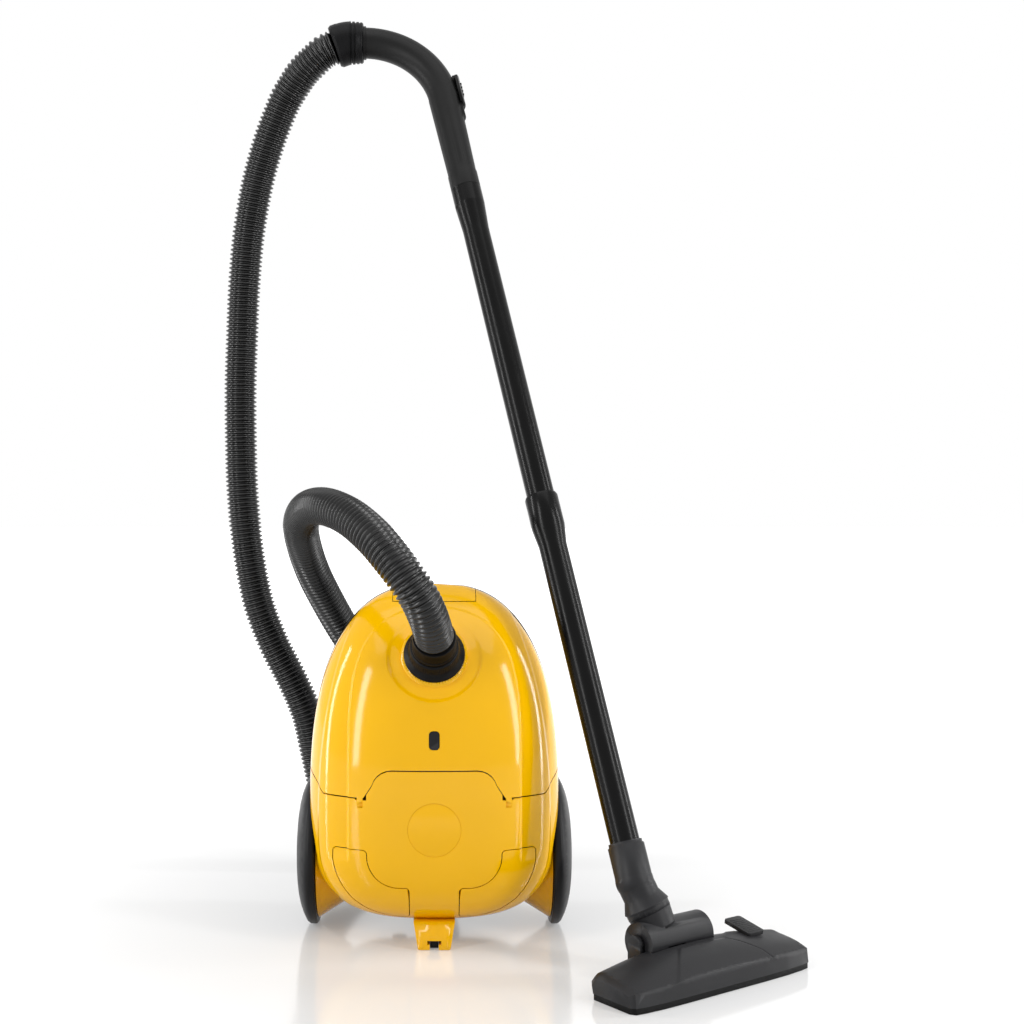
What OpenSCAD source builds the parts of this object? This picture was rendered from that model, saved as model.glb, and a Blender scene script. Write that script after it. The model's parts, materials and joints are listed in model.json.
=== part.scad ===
// Cylinder vacuum cleaner, parked on its tail end, with hose, handle, wand and floor head.
// Frame: millimetres, +Z up from the floor, X across the canister, -Y towards the lid side.
// The origin is on the sole of the parking heel, below the lid's parting plane.

/* [Canister] */
// Overall width of the canister body
body_w = 280; // [250:5:310]
// Height of the nose above the floor when parked
body_h = 390; // [370:5:420]
// Depth of the lid side in front of the parting plane
body_front = 115; // [108:1:125]
// Depth of the underside behind the parting plane
body_back = 95; // [92:1:105]
// Height of the widest section above the floor
widest_z = 145; // [140:1:155]
// Height of the tail end above the floor
tail_z = 21.5; // [20:0.5:26]
// Wall of the moulded shells
wall = 2.8; // [2:0.1:3.5]
// Gap along the seam between lid and rear housing
seam_gap = 1.4; // [1:0.1:2]

/* [Lid] */
// Height of the seam at the sides
seam_z = 167; // [165:1:170]
// Height of the seam over the centre tongue
tongue_z = 197; // [194:1:200]
// Half width of the tongue's flat top
tongue_half = 45; // [35:1:50]
// Distance of the hose inlet below the nose
inlet_drop = 73; // [66:1:80]
// Distance of the hose inlet in front of the parting plane
inlet_y = 80; // [76:1:84]
// Upward tilt of the inlet's axis, in degrees
inlet_tilt = 30; // [25:1:35]
// Radius of the collar's flange
collar_r = 33; // [31:0.5:36]
// Height of the collar above the lid
collar_h = 20; // [16:1:24]
// Height of the bag indicator's centre
window_z = 229.5; // [224:0.5:236]
// Distance of the latch tab's lower edge below the nose
latch_drop = 18; // [16:1:22]
// Half width of the latch tab
latch_half = 46; // [36:1:48]

/* [Pedals] */
// Travel of each foot pedal
pedal_travel = 4; // [2:0.5:5]
// Gap round each foot pedal
pedal_gap = 0.9; // [0.6:0.1:1.4]
// Radius of the blank cap's ring
cap_r = 28; // [22:1:32]

/* [Wheels] */
// Radius of the large wheels
wheel_r = 84; // [80:0.5:90]
// Distance of the axle behind the parting plane
axle_y = 30; // [26:1:36]
// Distance of the wheel's inner face inside the body's widest point
wheel_inset = 8.5; // [4:0.5:10]
// Width of the tread
tread_w = 10; // [8:0.5:14]
// Bulge of the wheel's outer face beyond the tread
wheel_bulge = 14; // [8:1:18]
// Radius of the wheel axles
axle_r = 5; // [4:0.25:6]
// Radius of the caster wheel
caster_r = 7.5; // [6.5:0.5:8]

/* [Hose] */
// Outer diameter of the hose
hose_d = 42; // [36:1:44]
// Length of the lower cuff outside the collar
cuff_len = 26; // [20:1:34]

/* [Wand] */
// Outer diameter of the wand's tubes
tube_d = 31; // [28:0.5:33]
// Wall of the wand's tubes
tube_wall = 1.6; // [1:0.1:2]
// Outer diameter of the wand's sockets
socket_d = 38; // [37:0.5:42]
// Length of the upper tube, from the handle to the lower tube's socket
upper_len = 395; // [300:5:420]
// Upper end of the wand's centre line: across, back, up
wand_top = [38, 90, 856];
// Lower end of the wand's centre line: across, back, up
wand_foot = [196, -150, 132];

/* [Handle] */
// Bend radius of the handle's centre line
bend_r = 102; // [96:1:112]
// Angle of the handle's swivel below level, in degrees
swivel_dip = 0; // [0:1:8]
// Straight length between the bend and the wand
grip_len = 128; // [110:1:140]
// Radius of the handle at the swivel
handle_r = 19; // [17:0.5:20]
// Travel of the air slider
slider_travel = 14; // [8:1:16]
// Length of the air slider
slider_len = 38; // [28:1:42]

/* [Floor head] */
// Length of the floor head
head_len = 250; // [220:5:280]
// Depth of the floor head from front to back
head_depth = 80; // [74:1:90]
// Turn of the floor head about the vertical, in degrees
head_yaw = 35.5; // [30:0.5:40]
// Height of the floor head's front strip
strip_h = 21; // [18:1:24]
// Height of the floor head's crown
crown_h = 37; // [34:1:42]
// Radius of the tilting barrel
barrel_r = 20; // [18:0.5:22]
// Travel of the brushes
brush_travel = 4; // [2:0.5:5]

/* [Clearances] */
// Radial gap of a shaft in its bore
run = 0.06; // [0.02:0.01:0.1]
// Gap between pieces that are fitted together
fit = 0.3; // [0.2:0.05:0.5]

/* [Hidden] */
$fn = 48;
yellow = [0.98, 0.76, 0.03];
black = [0.06, 0.06, 0.065];
graphite = [0.2, 0.2, 0.21];
steel = [0.72, 0.73, 0.75];
paper = [0.86, 0.83, 0.76];

part_gap = 0.4;
column_step = 7.5;
front_columns = [0 : -column_step : -180];
back_columns = [180 : -column_step : 0];

// ---------- the canister's form ----------
// A row angle f runs from -90 at the tail to 90 at the nose, and a column angle a goes round.
// i is how far the surface lies inside the outer skin.
function fade(t, a, b) = pow(max(0, 1 - pow(t, a)), 1 / b);
function row_z(f, i) = widest_z + (f < 0 ? widest_z - tail_z - i : body_h - widest_z - i) * sin(f);
function half_width(f, i) = (body_w / 2 - i) * (f < 0 ? fade(-sin(f), 3, 3) : fade(sin(f), 2.55, 2.55));
function front_depth(f, i) = (body_front - i) * (f < 0 ? fade(-sin(f), 4, 2.5) : fade(sin(f), 2.6, 1.3));
function back_depth(f, i) = (body_back - i) * (f < 0 ? fade(-sin(f), 6, 3) : fade(sin(f), 5, 2.2));
function power(v, p) = sign(v) * pow(abs(v), p);
function skin_point(f, a, i) =
  let (n = sin(a) < 0 ? 2.7 : 5)
  let (depth = sin(a) < 0 ? front_depth(f, i) : back_depth(f, i))
  [half_width(f, i) * power(cos(a), 2 / n), depth * power(sin(a), 2 / n), row_z(f, i)];
function row_at(z) = asin(z < widest_z ? (z - widest_z) / (widest_z - tail_z) : (z - widest_z) / (body_h - widest_z));
function front_y(x, z) = -front_depth(row_at(z), 0) * pow(1 - pow(x / half_width(row_at(z), 0), 2.7), 1 / 2.7);
function unit(v) = v / norm(v);

// Splits a four-sided face into triangles and leaves out those that have shrunk to a line.
function quad(a, b, c, d) =
  [for (t = [[a, b, c], [a, c, d]]) if (t[0] != t[1] && t[1] != t[2] && t[0] != t[2]) t];

// A closed piece of the skin between two depths below the outer surface.
module skin_patch(rows, columns, outer, inner) {
  f = [for (v = rows) v];
  a = [for (v = columns) v];
  nr = len(f);
  nc = len(a);
  function id(k, r, c) = (k * nr + r) * nc + (abs(f[r]) == 90 ? 0 : c);
  points = [for (i = [outer, inner]) for (r = f) for (c = a) skin_point(r, c, i)];
  faces = [
    for (r = [0 : nr - 2]) for (c = [0 : nc - 2]) each concat(
      quad(id(0, r, c), id(0, r, c + 1), id(0, r + 1, c + 1), id(0, r + 1, c)),
      quad(id(1, r, c + 1), id(1, r, c), id(1, r + 1, c), id(1, r + 1, c + 1))),
    for (r = [0 : nr - 2]) each concat(
      quad(id(0, r, 0), id(0, r + 1, 0), id(1, r + 1, 0), id(1, r, 0)),
      quad(id(0, r + 1, nc - 1), id(0, r, nc - 1), id(1, r, nc - 1), id(1, r + 1, nc - 1))),
    for (c = [0 : nc - 2]) each concat(
      quad(id(0, 0, c + 1), id(0, 0, c), id(1, 0, c), id(1, 0, c + 1)),
      quad(id(0, nr - 1, c), id(0, nr - 1, c + 1), id(1, nr - 1, c + 1), id(1, nr - 1, c)))
  ];
  polyhedron(points, faces, convexity = 6);
}

// A solid half of the form between two rows, closed on the parting plane.
module half_form(rows, columns, i) {
  f = [for (v = rows) v];
  a = [for (v = columns) v];
  nr = len(f);
  nc = len(a);
  points = [for (r = f) for (c = a) skin_point(r, c, i)];
  faces = [
    for (r = [0 : nr - 2]) for (c = [0 : nc - 2])
      each quad(r * nc + c, r * nc + c + 1, (r + 1) * nc + c + 1, (r + 1) * nc + c),
    for (r = [0 : nr - 2]) each quad(r * nc, (r + 1) * nc, (r + 2) * nc - 1, (r + 1) * nc - 1),
    [for (c = [nc - 1 : -1 : 0]) c],
    [for (c = [0 : nc - 1]) (nr - 1) * nc + c]
  ];
  polyhedron(points, faces, convexity = 4);
}

// The outline of the whole section at height z, as a flat shape in X and Y.
module section_shape(z, i) {
  f = row_at(z);
  polygon([for (a = [0 : column_step : 359]) let (p = skin_point(f, a, i)) [p[0], p[1]]]);
}

// Turns a flat shape drawn in X and Z into a slab from y0 to y1.
module slab(y0, y1) {
  translate([0, y1, 0]) rotate([90, 0, 0]) linear_extrude(y1 - y0) children();
}

// Puts children drawn along +Z at p, with +Z turned to the direction v.
module along(p, v) {
  u = unit(v);
  translate(p) rotate([0, acos(u[2]), atan2(u[1], u[0])]) children();
}

module pair() {
  children();
  mirror([1, 0, 0]) children();
}

// A ring or disc from a to b along +Z.
module ring(r_out, r_in, a, b) {
  translate([0, 0, a]) difference() {
    cylinder(r = r_out, h = b - a);
    translate([0, 0, -1]) cylinder(r = r_in, h = b - a + 2);
  }
}

module rounded(r) {
  offset(r = r, $fn = 32) offset(delta = -r) children();
}

// ---------- shared places ----------
axle_z = wheel_r;
wheel_x = body_w / 2 - wheel_inset;
hinge_z = seam_z - 7;
hinge_x = tongue_half + 34;
hinge_depth = 5.06;
hinge_y = front_y(hinge_x, hinge_z) - part_gap + hinge_depth;
hinge_half = 3;
hinge_boss = 4;
pin_half = hinge_half + fit + hinge_boss - 1;
pin_r = 1.6;
bulk_z = tongue_z - 1;
bulk_t = 3;
filter_half = 51;
inlet_axis = [0, -cos(inlet_tilt), sin(inlet_tilt)];
inlet_at = [0, -inlet_y, body_h - inlet_drop];
latch_z = body_h - latch_drop;
ledge_z = latch_z - 24;
bore_r = hose_d / 2 + 1.5;
cuff_end = collar_h + cuff_len;
well_r = wheel_r + 3;
well_x = wheel_x - 2.5;
pod_r = wheel_r - 7;
pod_in_r = wheel_r - 29;
pod_x = 95;
reel_x = [-88, -40];
reel_r = 58;
reel_at = [0, 15, 107];
motor_at = [49, 14, 0];
motor_r = 40;
cover_y = -66;
cover_t = 3;
stem_x = body_w / 2 - 62;
pedal_edge = 31 - body_w / 2;
stem_z = 90;
stem_r = 4;
stem_len = 34;
spring_len = 19 + pedal_travel;
post_at = [[-15, 52], [-100, 182], [100, 182]];
window_y = -front_depth(row_at(window_z), 0) - part_gap;
window_lean = atan((front_depth(row_at(window_z - 5), 0) - front_depth(row_at(window_z + 5), 0)) / 10);
flag_w = 8;
flag_y = 3;
flag_t = 3;
flag_h = 8;
bag_wall = 3;
holder_depth = 30.4;
holder_half = 46;
holder_foot = inlet_at - holder_depth * inlet_axis - holder_half * [0, sin(inlet_tilt), cos(inlet_tilt)];
grille_w = 90;
grille_z = [112, 160];
caster_z = 300;
outlet_at = [-40, 40];

// ---------- canister shells ----------
module seam_shape(gap) {
  side = seam_z + gap;
  top = tongue_z + gap;
  corner = top - side;
  pair() polygon([
    [0, top], [tongue_half, top],
    for (s = [15 : 15 : 75]) [tongue_half + 22 * sin(s), top - (corner - 8) * (1 - cos(s))],
    [tongue_half + 22 + 8, side], [body_w / 2 - 20, side], [body_w / 2, side + 22],
    [body_w, side + 40], [body_w, body_h + 50], [0, body_h + 50]
  ]);
}

module wheel_well(r, x) {
  pair() translate([x, axle_y, axle_z]) rotate([0, 90, 0]) cylinder(r = r, h = 60);
}

// The ring that closes a shell between its wheel well and the wheel's pod.
module well_floor(rows, columns) {
  intersection() {
    half_form(rows, columns, wall / 2);
    pair() translate([well_x - wall, axle_y, axle_z]) rotate([0, 90, 0])
      ring(well_r + wall, pod_hole_r(well_x - wall), 0, wall);
  }
}

function pod_hole_r(x) = pod_in_r + (pod_r - pod_in_r) * (x - pod_x) / (wheel_x - 0.8 - pod_x) + fit;

module pod_hole() {
  pair() translate([pod_x - 40, axle_y, axle_z]) rotate([0, 90, 0])
    cylinder(r1 = pod_hole_r(pod_x - 40), r2 = pod_hole_r(wheel_x + 20), h = wheel_x + 60 - pod_x);
}

module base_shell() color(black) {
  difference() {
    union() {
      difference() {
        translate([0, part_gap, 0]) skin_patch([-90 : 9 : 90], back_columns, 0, wall);
        wheel_well(well_r, well_x);
      }
      translate([0, part_gap, 0]) well_floor([-50 : 10 : 20], back_columns);
      // parking heel, which reaches forward below the rear housing to the bracket
      translate([-15, -33, 0]) cube([30, 110, tail_z - 1.5]);
      translate([-15, 6, 0]) cube([30, 71, tail_z + 8]);
      // posts for the motor cover
      for (p = post_at) translate([p[0], body_back - wall / 2, p[1]]) rotate([90, 0, 0])
        cylinder(r = 5, h = body_back - wall / 2 - cover_y - cover_t - fit);
      // boss for the caster's stem
      translate([0, body_back - 1, caster_z]) rotate([90, 0, 0]) cylinder(r = 13, h = 32);
    }
    pod_hole();
    for (p = post_at) translate([p[0], cover_y + 20, p[1]]) rotate([90, 0, 0]) cylinder(r = 1.6, h = 40);
    translate([0, body_back + 20, caster_z]) rotate([90, 0, 0]) cylinder(r = 5 + run, h = 49);
    translate([-grille_w / 2, body_back - 12, grille_z[0]])
      cube([grille_w, 20, grille_z[1] - grille_z[0]]);
    translate([outlet_at[0], outlet_at[1], 0]) cylinder(r = 9, h = 60);
  }
}

module bracket_shape() {
  difference() {
    rounded(2) polygon([[-23, 34], [23, 34], [17.5, 0], [-17.5, 0]]);
    translate([-4.85, -1]) square([9.7, 7]);
    translate([-7.5, 5.4]) square([15, 4.3]);
  }
}

// A flat quarter of the plane with a rounded corner, up and right of (x, z).
module corner_shape(x, z, r) {
  translate([x, z]) {
    translate([r, r]) circle(r = r, $fn = 96);
    translate([r, 0]) square([200, 200]);
    translate([0, r]) square([200, 200]);
  }
}

module pedal_shape(grow) {
  offset(delta = grow) rounded(4) intersection() {
    translate([pedal_edge, 35]) square([-27 - pedal_edge, 77.5]);
    difference() {
      corner_shape(pedal_edge, 35, 75);
      corner_shape(pedal_edge + 37, 73, 34);
    }
  }
}

module rear_housing() color(yellow) {
  difference() {
    union() {
      difference() {
        intersection() {
          translate([0, -part_gap, 0]) skin_patch([-90 : 8 : 14], front_columns, 0, wall);
          slab(-150, 20) difference() {
            translate([-body_w, 0]) square([body_w * 2, tongue_z + 40]);
            seam_shape(0);
          }
        }
        wheel_well(well_r, well_x);
        pair() slab(-body_front - 25, -45) pedal_shape(pedal_gap);
      }
      translate([0, -part_gap, 0]) well_floor([-50 : 10 : 10], front_columns);
      slab(-82, -34.2) intersection() {
        bracket_shape();
        translate([-30, 0]) square([60, 30]);
      }
      // hinge bosses on both sides of each lid knuckle
      intersection() {
        translate([0, -part_gap, 0]) half_form([-30 : 8 : 50], front_columns, 0);
        pair() for (x = [hinge_x - hinge_half - fit - hinge_boss, hinge_x + hinge_half + fit])
          translate([x, hinge_y, hinge_z]) rotate([0, 90, 0]) cylinder(r = 3.6, h = hinge_boss);
      }
    }
    pod_hole();
    hinge_slots();
    hinge_bore();
    slab(-body_front - 5, -body_front + 0.9) translate([0, 136]) circle(r = cap_r + fit, $fn = 96);
    slab(-body_front - 5, -body_front + 6) translate([0, 136]) circle(r = 6 + fit);
  }
}

// Room for the lid's knuckles in the rear housing.
module hinge_slots() {
  pair() translate([hinge_x - hinge_half - fit, hinge_y - 3.4, hinge_z - 4.5])
    cube([2 * (hinge_half + fit), 9.4, 14]);
  pair() translate([hinge_x - hinge_half - fit, hinge_y - 8, hinge_z - 2])
    cube([2 * (hinge_half + fit), 13, 11.5]);
  pair() translate([hinge_x - hinge_half - 4, hinge_y - 8, seam_z - 1.2]) cube([2 * hinge_half + 6, 14, 6.5]);
}

module hinge_bore() {
  pair() translate([hinge_x - pin_half - 0.2, hinge_y, hinge_z]) rotate([0, 90, 0])
    cylinder(r = pin_r + run, h = 2 * pin_half + 0.4);
}

module lid() color(yellow) {
  difference() {
    union() {
      difference() {
        intersection() {
          translate([0, -part_gap, 0]) skin_patch([2 : 8 : 90], front_columns, 0, wall);
          slab(-150, 20) seam_shape(seam_gap);
        }
        slab(-150, 20) translate([-latch_half - 0.7, latch_z - 0.7]) square([2 * latch_half + 1.4, 60]);
      }
      along(inlet_at, inlet_axis) ring(collar_r + 3, collar_r - 4, -12, 1);
      // ledge under the latch spring
      translate([-12, -front_depth(row_at(ledge_z + 2), wall / 2), ledge_z])
        cube([24, front_depth(row_at(ledge_z + 2), wall / 2) - 5, 3]);
      // box behind the indicator window
      at_window() slab(2, 9) square([14, 25], center = true);
      pair() lid_knuckle();
    }
    along(inlet_at, inlet_axis) translate([0, 0, -30]) cylinder(r = collar_r - 4.5, h = 60);
    at_window() {
      slab(-8, 2.7) window_shape(fit);
      slab(0, flag_y + flag_t + fit) square([flag_w + 2 * fit, 17], center = true);
    }
    hinge_bore();
  }
}

// Places children on the indicator window: Y runs inwards, Z up the slope of the lid.
module at_window() {
  translate([0, window_y, window_z]) rotate([-window_lean, 0, 0]) children();
}

module lid_knuckle() {
  translate([hinge_x - hinge_half, hinge_y, hinge_z]) rotate([0, 90, 0]) cylinder(r = 3, h = 2 * hinge_half);
  translate([hinge_x - hinge_half, hinge_y - 2.7, hinge_z]) cube([2 * hinge_half, 3.7, 14]);
}

module window_shape(grow) {
  offset(delta = grow) rounded(4) square([11, 19.5], center = true);
}

module lid_hinge_pins() color(steel) {
  pair() translate([hinge_x - pin_half, hinge_y, hinge_z]) rotate([0, 90, 0]) cylinder(r = pin_r, h = 2 * pin_half);
}

module lid_seal() color(black) {
  pair() translate([0, part_gap, 0]) skin_patch([18 : 9 : 90], [1, 0, -2.5], wall + 0.9, wall + 4);
}

module latch_tab() color(yellow) {
  intersection() {
    translate([0, -part_gap, 0]) skin_patch([58 : 8 : 90], front_columns, 0, wall);
    slab(-150, 20) translate([-latch_half, latch_z]) square([2 * latch_half, 60]);
  }
  translate([-10, -16, latch_z - 5]) cube([20, 10, 17]);
}

module latch_spring() color(steel) {
  translate([0, -11, ledge_z + 3 + fit]) ring(4.5, 3.3, 0, latch_z - 8 - ledge_z - 2 * fit);
}

// ---------- hose inlet and indicator ----------
module inlet_connector() color(black) {
  along(inlet_at, inlet_axis) rotate_extrude($fn = 96) polygon([
    [bore_r, -24], [collar_r - 5, -24], [collar_r - 5, 1.3], [collar_r, 1.3], [collar_r, 4],
    [collar_r - 5, 9], [bore_r + 3.5, collar_h], [bore_r + 1, collar_h + 1], [bore_r, collar_h]
  ]);
}

module hose_cuff_lower() color(black) {
  inner = bore_r - fit;
  along(inlet_at, inlet_axis) rotate_extrude($fn = 96) polygon([
    [inner - 3.5, -20], [inner, -20], [inner, collar_h + 1.5], [inner + 1.8, collar_h + 1.8],
    [inner + 1.8, collar_h + 6],
    for (k = [0 : 5]) each [[inner + 0.4, collar_h + 7.5 + 3 * k], [inner + 1.2, collar_h + 9 + 3 * k]],
    [inner + 0.4, cuff_end], [inner - 3.5, cuff_end]
  ]);
}

module indicator_window() color([0.1, 0.1, 0.12]) {
  at_window() slab(0.9, 2.4) window_shape(0);
}

module indicator_flag() color([0.75, 0.1, 0.08]) {
  at_window() slab(flag_y, flag_y + flag_t) translate([-flag_w / 2, fit - 8.5]) square([flag_w, flag_h]);
}

module indicator_spring() color(steel) {
  at_window() translate([0, flag_y + flag_t / 2, flag_h + 2 * fit - 8.5]) ring(1.4, 0.8, 0, 17 - flag_h - 3 * fit);
}

// ---------- dust bag ----------
module plate_place(s) {
  along(inlet_at + s * inlet_axis, inlet_axis) children();
}

module bag_plate() color(paper) {
  plate_place(-27) difference() {
    translate([-44, -40, 0]) cube([88, 80, 2.4]);
    translate([0, 0, -1]) cylinder(r = bore_r + 1, h = 5);
  }
}

module bag_holder() color(graphite) {
  foot = bulk_z + bulk_t + fit;
  plate_place(-holder_depth) difference() {
    translate([-50, -holder_half, 0]) cube([100, 2 * holder_half, 3]);
    translate([-36, -33, -1]) cube([72, 66, 5]);
  }
  for (x = [-46, 38]) translate([x, holder_foot[1] - 7.33, foot]) cube([8, 8, holder_foot[2] + 3.34 - foot]);
}

// A rounded block about the centre, with the half sizes in size.
module rounded_block(centre, size) {
  rows = [-90 : 15 : 90];
  f = [for (v = rows) v];
  a = [for (v = [0 : -15 : -345]) v];
  nr = len(f);
  nc = len(a);
  function id(r, c) = r * nc + (abs(f[r]) == 90 ? 0 : c % nc);
  function q(v) = power(v, 0.62);
  points = [for (r = f) for (c = a)
    centre + [size[0] * q(cos(r)) * q(cos(c)), size[1] * q(cos(r)) * q(sin(c)), size[2] * q(sin(r))]];
  faces = [for (r = [0 : nr - 2]) for (c = [0 : nc - 1])
    each quad(id(r, c), id(r, c + 1), id(r + 1, c + 1), id(r + 1, c))];
  polyhedron(points, faces, convexity = 4);
}

module dust_bag() color(paper) {
  difference() {
    rounded_block([0, 0, 262], [94, 62, 56]);
    difference() {
      rounded_block([0, 0, 262], [94 - bag_wall, 62 - bag_wall, 56 - bag_wall]);
      plate_place(-30.8 - bag_wall) translate([-150, -150, 0]) cube([300, 300, 100]);
    }
    plate_place(-60) cylinder(r = bore_r, h = 60);
    plate_place(-30.8) translate([-150, -150, 0]) cube([300, 300, 100]);
    for (x = [-47, 37]) translate([x, -85, 190]) cube([10, 10, 90]);
  }
}

// ---------- motor bay ----------
module bulkhead() color(graphite) {
  difference() {
    translate([0, 0, bulk_z]) linear_extrude(bulk_t) section_shape(bulk_z + 2, wall + 0.6);
    translate([-filter_half - fit, -19 - fit, bulk_z - 1]) cube([2 * (filter_half + fit), 82 + 2 * fit, bulk_t + 2]);
  }
}

module filter_frame() color(black) {
  translate([0, 22, bulk_z + bulk_t + fit]) difference() {
    translate([-60, -50, 0]) cube([120, 100, 3]);
    for (x = [-46 : 16 : 34]) translate([x + 1, -40, -1]) cube([12, 80, 5]);
  }
}

module motor_filter() color([0.3, 0.32, 0.36]) {
  translate([-filter_half, -19, bulk_z - 4]) cube([2 * filter_half, 82, 4 + bulk_t]);
}

module motor_housing() color(graphite) {
  translate([motor_at[0], motor_at[1], 0]) rotate_extrude($fn = 96) polygon([
    [4 + run, 62], [12, 62], [12, 66], [motor_r - 10, 66], [motor_r - 6, 92], [motor_r, 96], [motor_r, 176],
    [16, 176], [16, 173], [motor_r - 3, 173], [motor_r - 3, 99], [motor_r - 9, 95], [motor_r - 13, 69],
    [12, 69], [12, 72], [4 + run, 72]
  ]);
}

module motor_rotor() color(steel) {
  translate([motor_at[0], motor_at[1], 0]) {
    translate([0, 0, 60]) cylinder(r = 4, h = 102);
    translate([0, 0, 100]) cylinder(r = 20, h = 34);
    translate([0, 0, 146]) ring(motor_r - 6, 3.5, 0, 2);
    translate([0, 0, 164]) ring(motor_r - 6, 14, 0, 2);
    for (k = [0 : 8]) rotate([0, 0, 40 * k]) translate([14, -1, 147]) cube([motor_r - 23, 2, 17.5]);
    translate([0, 0, 147]) cylinder(r = 15, h = 12);
  }
}

module motor_seal() color(black) {
  translate([motor_at[0], motor_at[1], 0]) {
    ring(motor_r + 3, motor_r + fit, 160, 192);
    ring(motor_r + 3, motor_r - 10, 176 + fit, 180);
  }
}

module motor_mount() color(graphite) {
  translate([motor_at[0], motor_at[1], 0]) difference() {
    union() {
      ring(16, 12 + fit, 50, 66 - fit);
      for (k = [0 : 3]) rotate([0, 0, 45 + 90 * k]) translate([13, -2, 50]) cube([20, 4, 10]);
      translate([-20, -3, 50]) cube([40, 6, 4]);
    }
    translate([0, 0, 58]) cylinder(r = 9, h = 20);
  }
  translate([motor_at[0] - 4, motor_at[1] + 12, 50])
    cube([8, back_depth(row_at(47), wall) - motor_at[1] - 12 - fit, 8]);
}

module motor_cover() color(graphite) {
  difference() {
    slab(cover_y, cover_y + cover_t) difference() {
      rounded(12) polygon([[-82, 46], [82, 46], [112, 120], [112, bulk_z - fit], [-112, bulk_z - fit], [-112, 120]]);
      for (x = [-stem_x, stem_x]) translate([x, stem_z]) circle(r = stem_r + run);
      for (p = post_at) translate(p) circle(r = 2.2);
    }
  }
  for (x = [-stem_x, stem_x]) translate([x, cover_y, stem_z]) rotate([90, 0, 0]) ring(10, stem_r + run, 0, 6);
}

module cover_screws() color(steel) {
  for (p = post_at) translate([p[0], cover_y - fit, p[1]]) rotate([-90, 0, 0]) {
    translate([0, 0, -2.4]) cylinder(r = 4, h = 2.4);
    cylinder(r = 1.5, h = 16);
  }
}

module cord_reel() color([0.5, 0.5, 0.52]) {
  translate([reel_x[0], reel_at[1], reel_at[2]]) rotate([0, 90, 0]) {
    ring(reel_r, 6 + run, 0, 2);
    ring(26, 6 + run, 0, reel_x[1] - reel_x[0]);
    ring(reel_r, 6 + run, reel_x[1] - reel_x[0] - 2, reel_x[1] - reel_x[0]);
  }
}

module reel_spindle() color(graphite) {
  translate([reel_x[0] - 3, reel_at[1], reel_at[2]]) rotate([0, 90, 0])
    cylinder(r = 6, h = reel_x[1] - reel_x[0] + 10);
  // bracket that stands on the shell below the exhaust grille
  translate([reel_x[1] + 4, reel_at[1] - 8, reel_at[2] - 28]) {
    cube([8, 16, 36]);
    cube([8, back_depth(row_at(reel_at[2] - 28), wall) - reel_at[1] + 8 - fit, 12]);
  }
}

module power_switch() color(black) {
  translate([stem_x - 9, cover_y + cover_t + fit, stem_z - 13]) cube([18, 12, 26]);
  translate([stem_x, cover_y + cover_t + 2, stem_z]) rotate([90, 0, 0]) cylinder(r = 2.5, h = 2.2);
}

// A foot pedal: a piece of the skin with a stem that runs in the motor cover's guide.
module pedal() {
  intersection() {
    translate([0, -part_gap, 0]) skin_patch([-66 : 8 : -10], [-97.5 : -column_step : -172.5], 0, wall);
    slab(-body_front - 25, -45) pedal_shape(0);
  }
  translate([-stem_x, cover_y - 1.5, stem_z]) rotate([90, 0, 0]) cylinder(r = stem_r, h = stem_len);
}

module rewind_pedal() color(yellow) pedal();

module power_pedal() color(yellow) mirror([1, 0, 0]) pedal();

module pedal_spring(x) {
  translate([x, cover_y - 6 - fit, stem_z]) rotate([90, 0, 0]) ring(7, stem_r + 1.2, 0, spring_len);
}

module power_pedal_spring() color(steel) pedal_spring(stem_x);

module rewind_pedal_spring() color(steel) pedal_spring(-stem_x);

module blank_cap() color(yellow) {
  slab(-body_front + 0.2, -body_front + 0.7) translate([0, 136]) circle(r = cap_r, $fn = 96);
  slab(-body_front + 0.2, -body_front + 5) translate([0, 136]) circle(r = 6);
}

// ---------- exhaust and cord outlet ----------
module exhaust_grille() color(black) {
  y0 = body_back - wall - 1.2;
  difference() {
    union() {
      translate([-grille_w / 2 + fit, y0, grille_z[0] + fit])
        cube([grille_w - 2 * fit, wall + 0.4, grille_z[1] - grille_z[0] - 2 * fit]);
      translate([-grille_w / 2 - 5, y0 - 2, grille_z[0] - 5])
        cube([grille_w + 10, 2, grille_z[1] - grille_z[0] + 10]);
    }
    for (z = [grille_z[0] + 5 : 6 : grille_z[1] - 6]) translate([-grille_w / 2 + 5, y0 - 5, z])
      cube([grille_w - 10, 20, 3]);
  }
}

module exhaust_filter() color([0.85, 0.86, 0.88]) {
  back = body_back - wall - 3.2 - fit;
  pitch = 6;
  folds = floor(grille_w / pitch);
  half = folds * pitch / 2;
  translate([0, 0, grille_z[0] - 2]) linear_extrude(grille_z[1] - grille_z[0] + 4) polygon(concat(
    [for (k = [0 : 2 * folds]) [-half + k * pitch / 2, back - (k % 2 == 0 ? 0 : 8)]],
    [for (k = [2 * folds : -1 : 0]) [-half + k * pitch / 2, back - 2 - (k % 2 == 0 ? 0 : 8)]]));
}

module cord_outlet() color(graphite) {
  translate([outlet_at[0], outlet_at[1], 0]) {
    ring(8.6, 4.5, tail_z - 2, tail_z + 10);
    ring(12, 4.5, tail_z + 8, tail_z + 10);
  }
}

// ---------- wheels ----------
module wheel_pod() color(yellow) {
  face = wheel_x - 0.8;
  translate([0, axle_y, axle_z]) rotate([0, 90, 0]) rotate_extrude($fn = 128) polygon([
    [axle_r + run, face], [pod_r, face], [pod_in_r, pod_x], [pod_in_r - 3.5, pod_x],
    [pod_r - 4.6, face - 3], [12, face - 3], [12, pod_x], [0, pod_x], [0, pod_x + 3], [axle_r + run, pod_x + 3]
  ]);
}

module left_wheel_pod() mirror([1, 0, 0]) wheel_pod();

module right_wheel_pod() wheel_pod();

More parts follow.
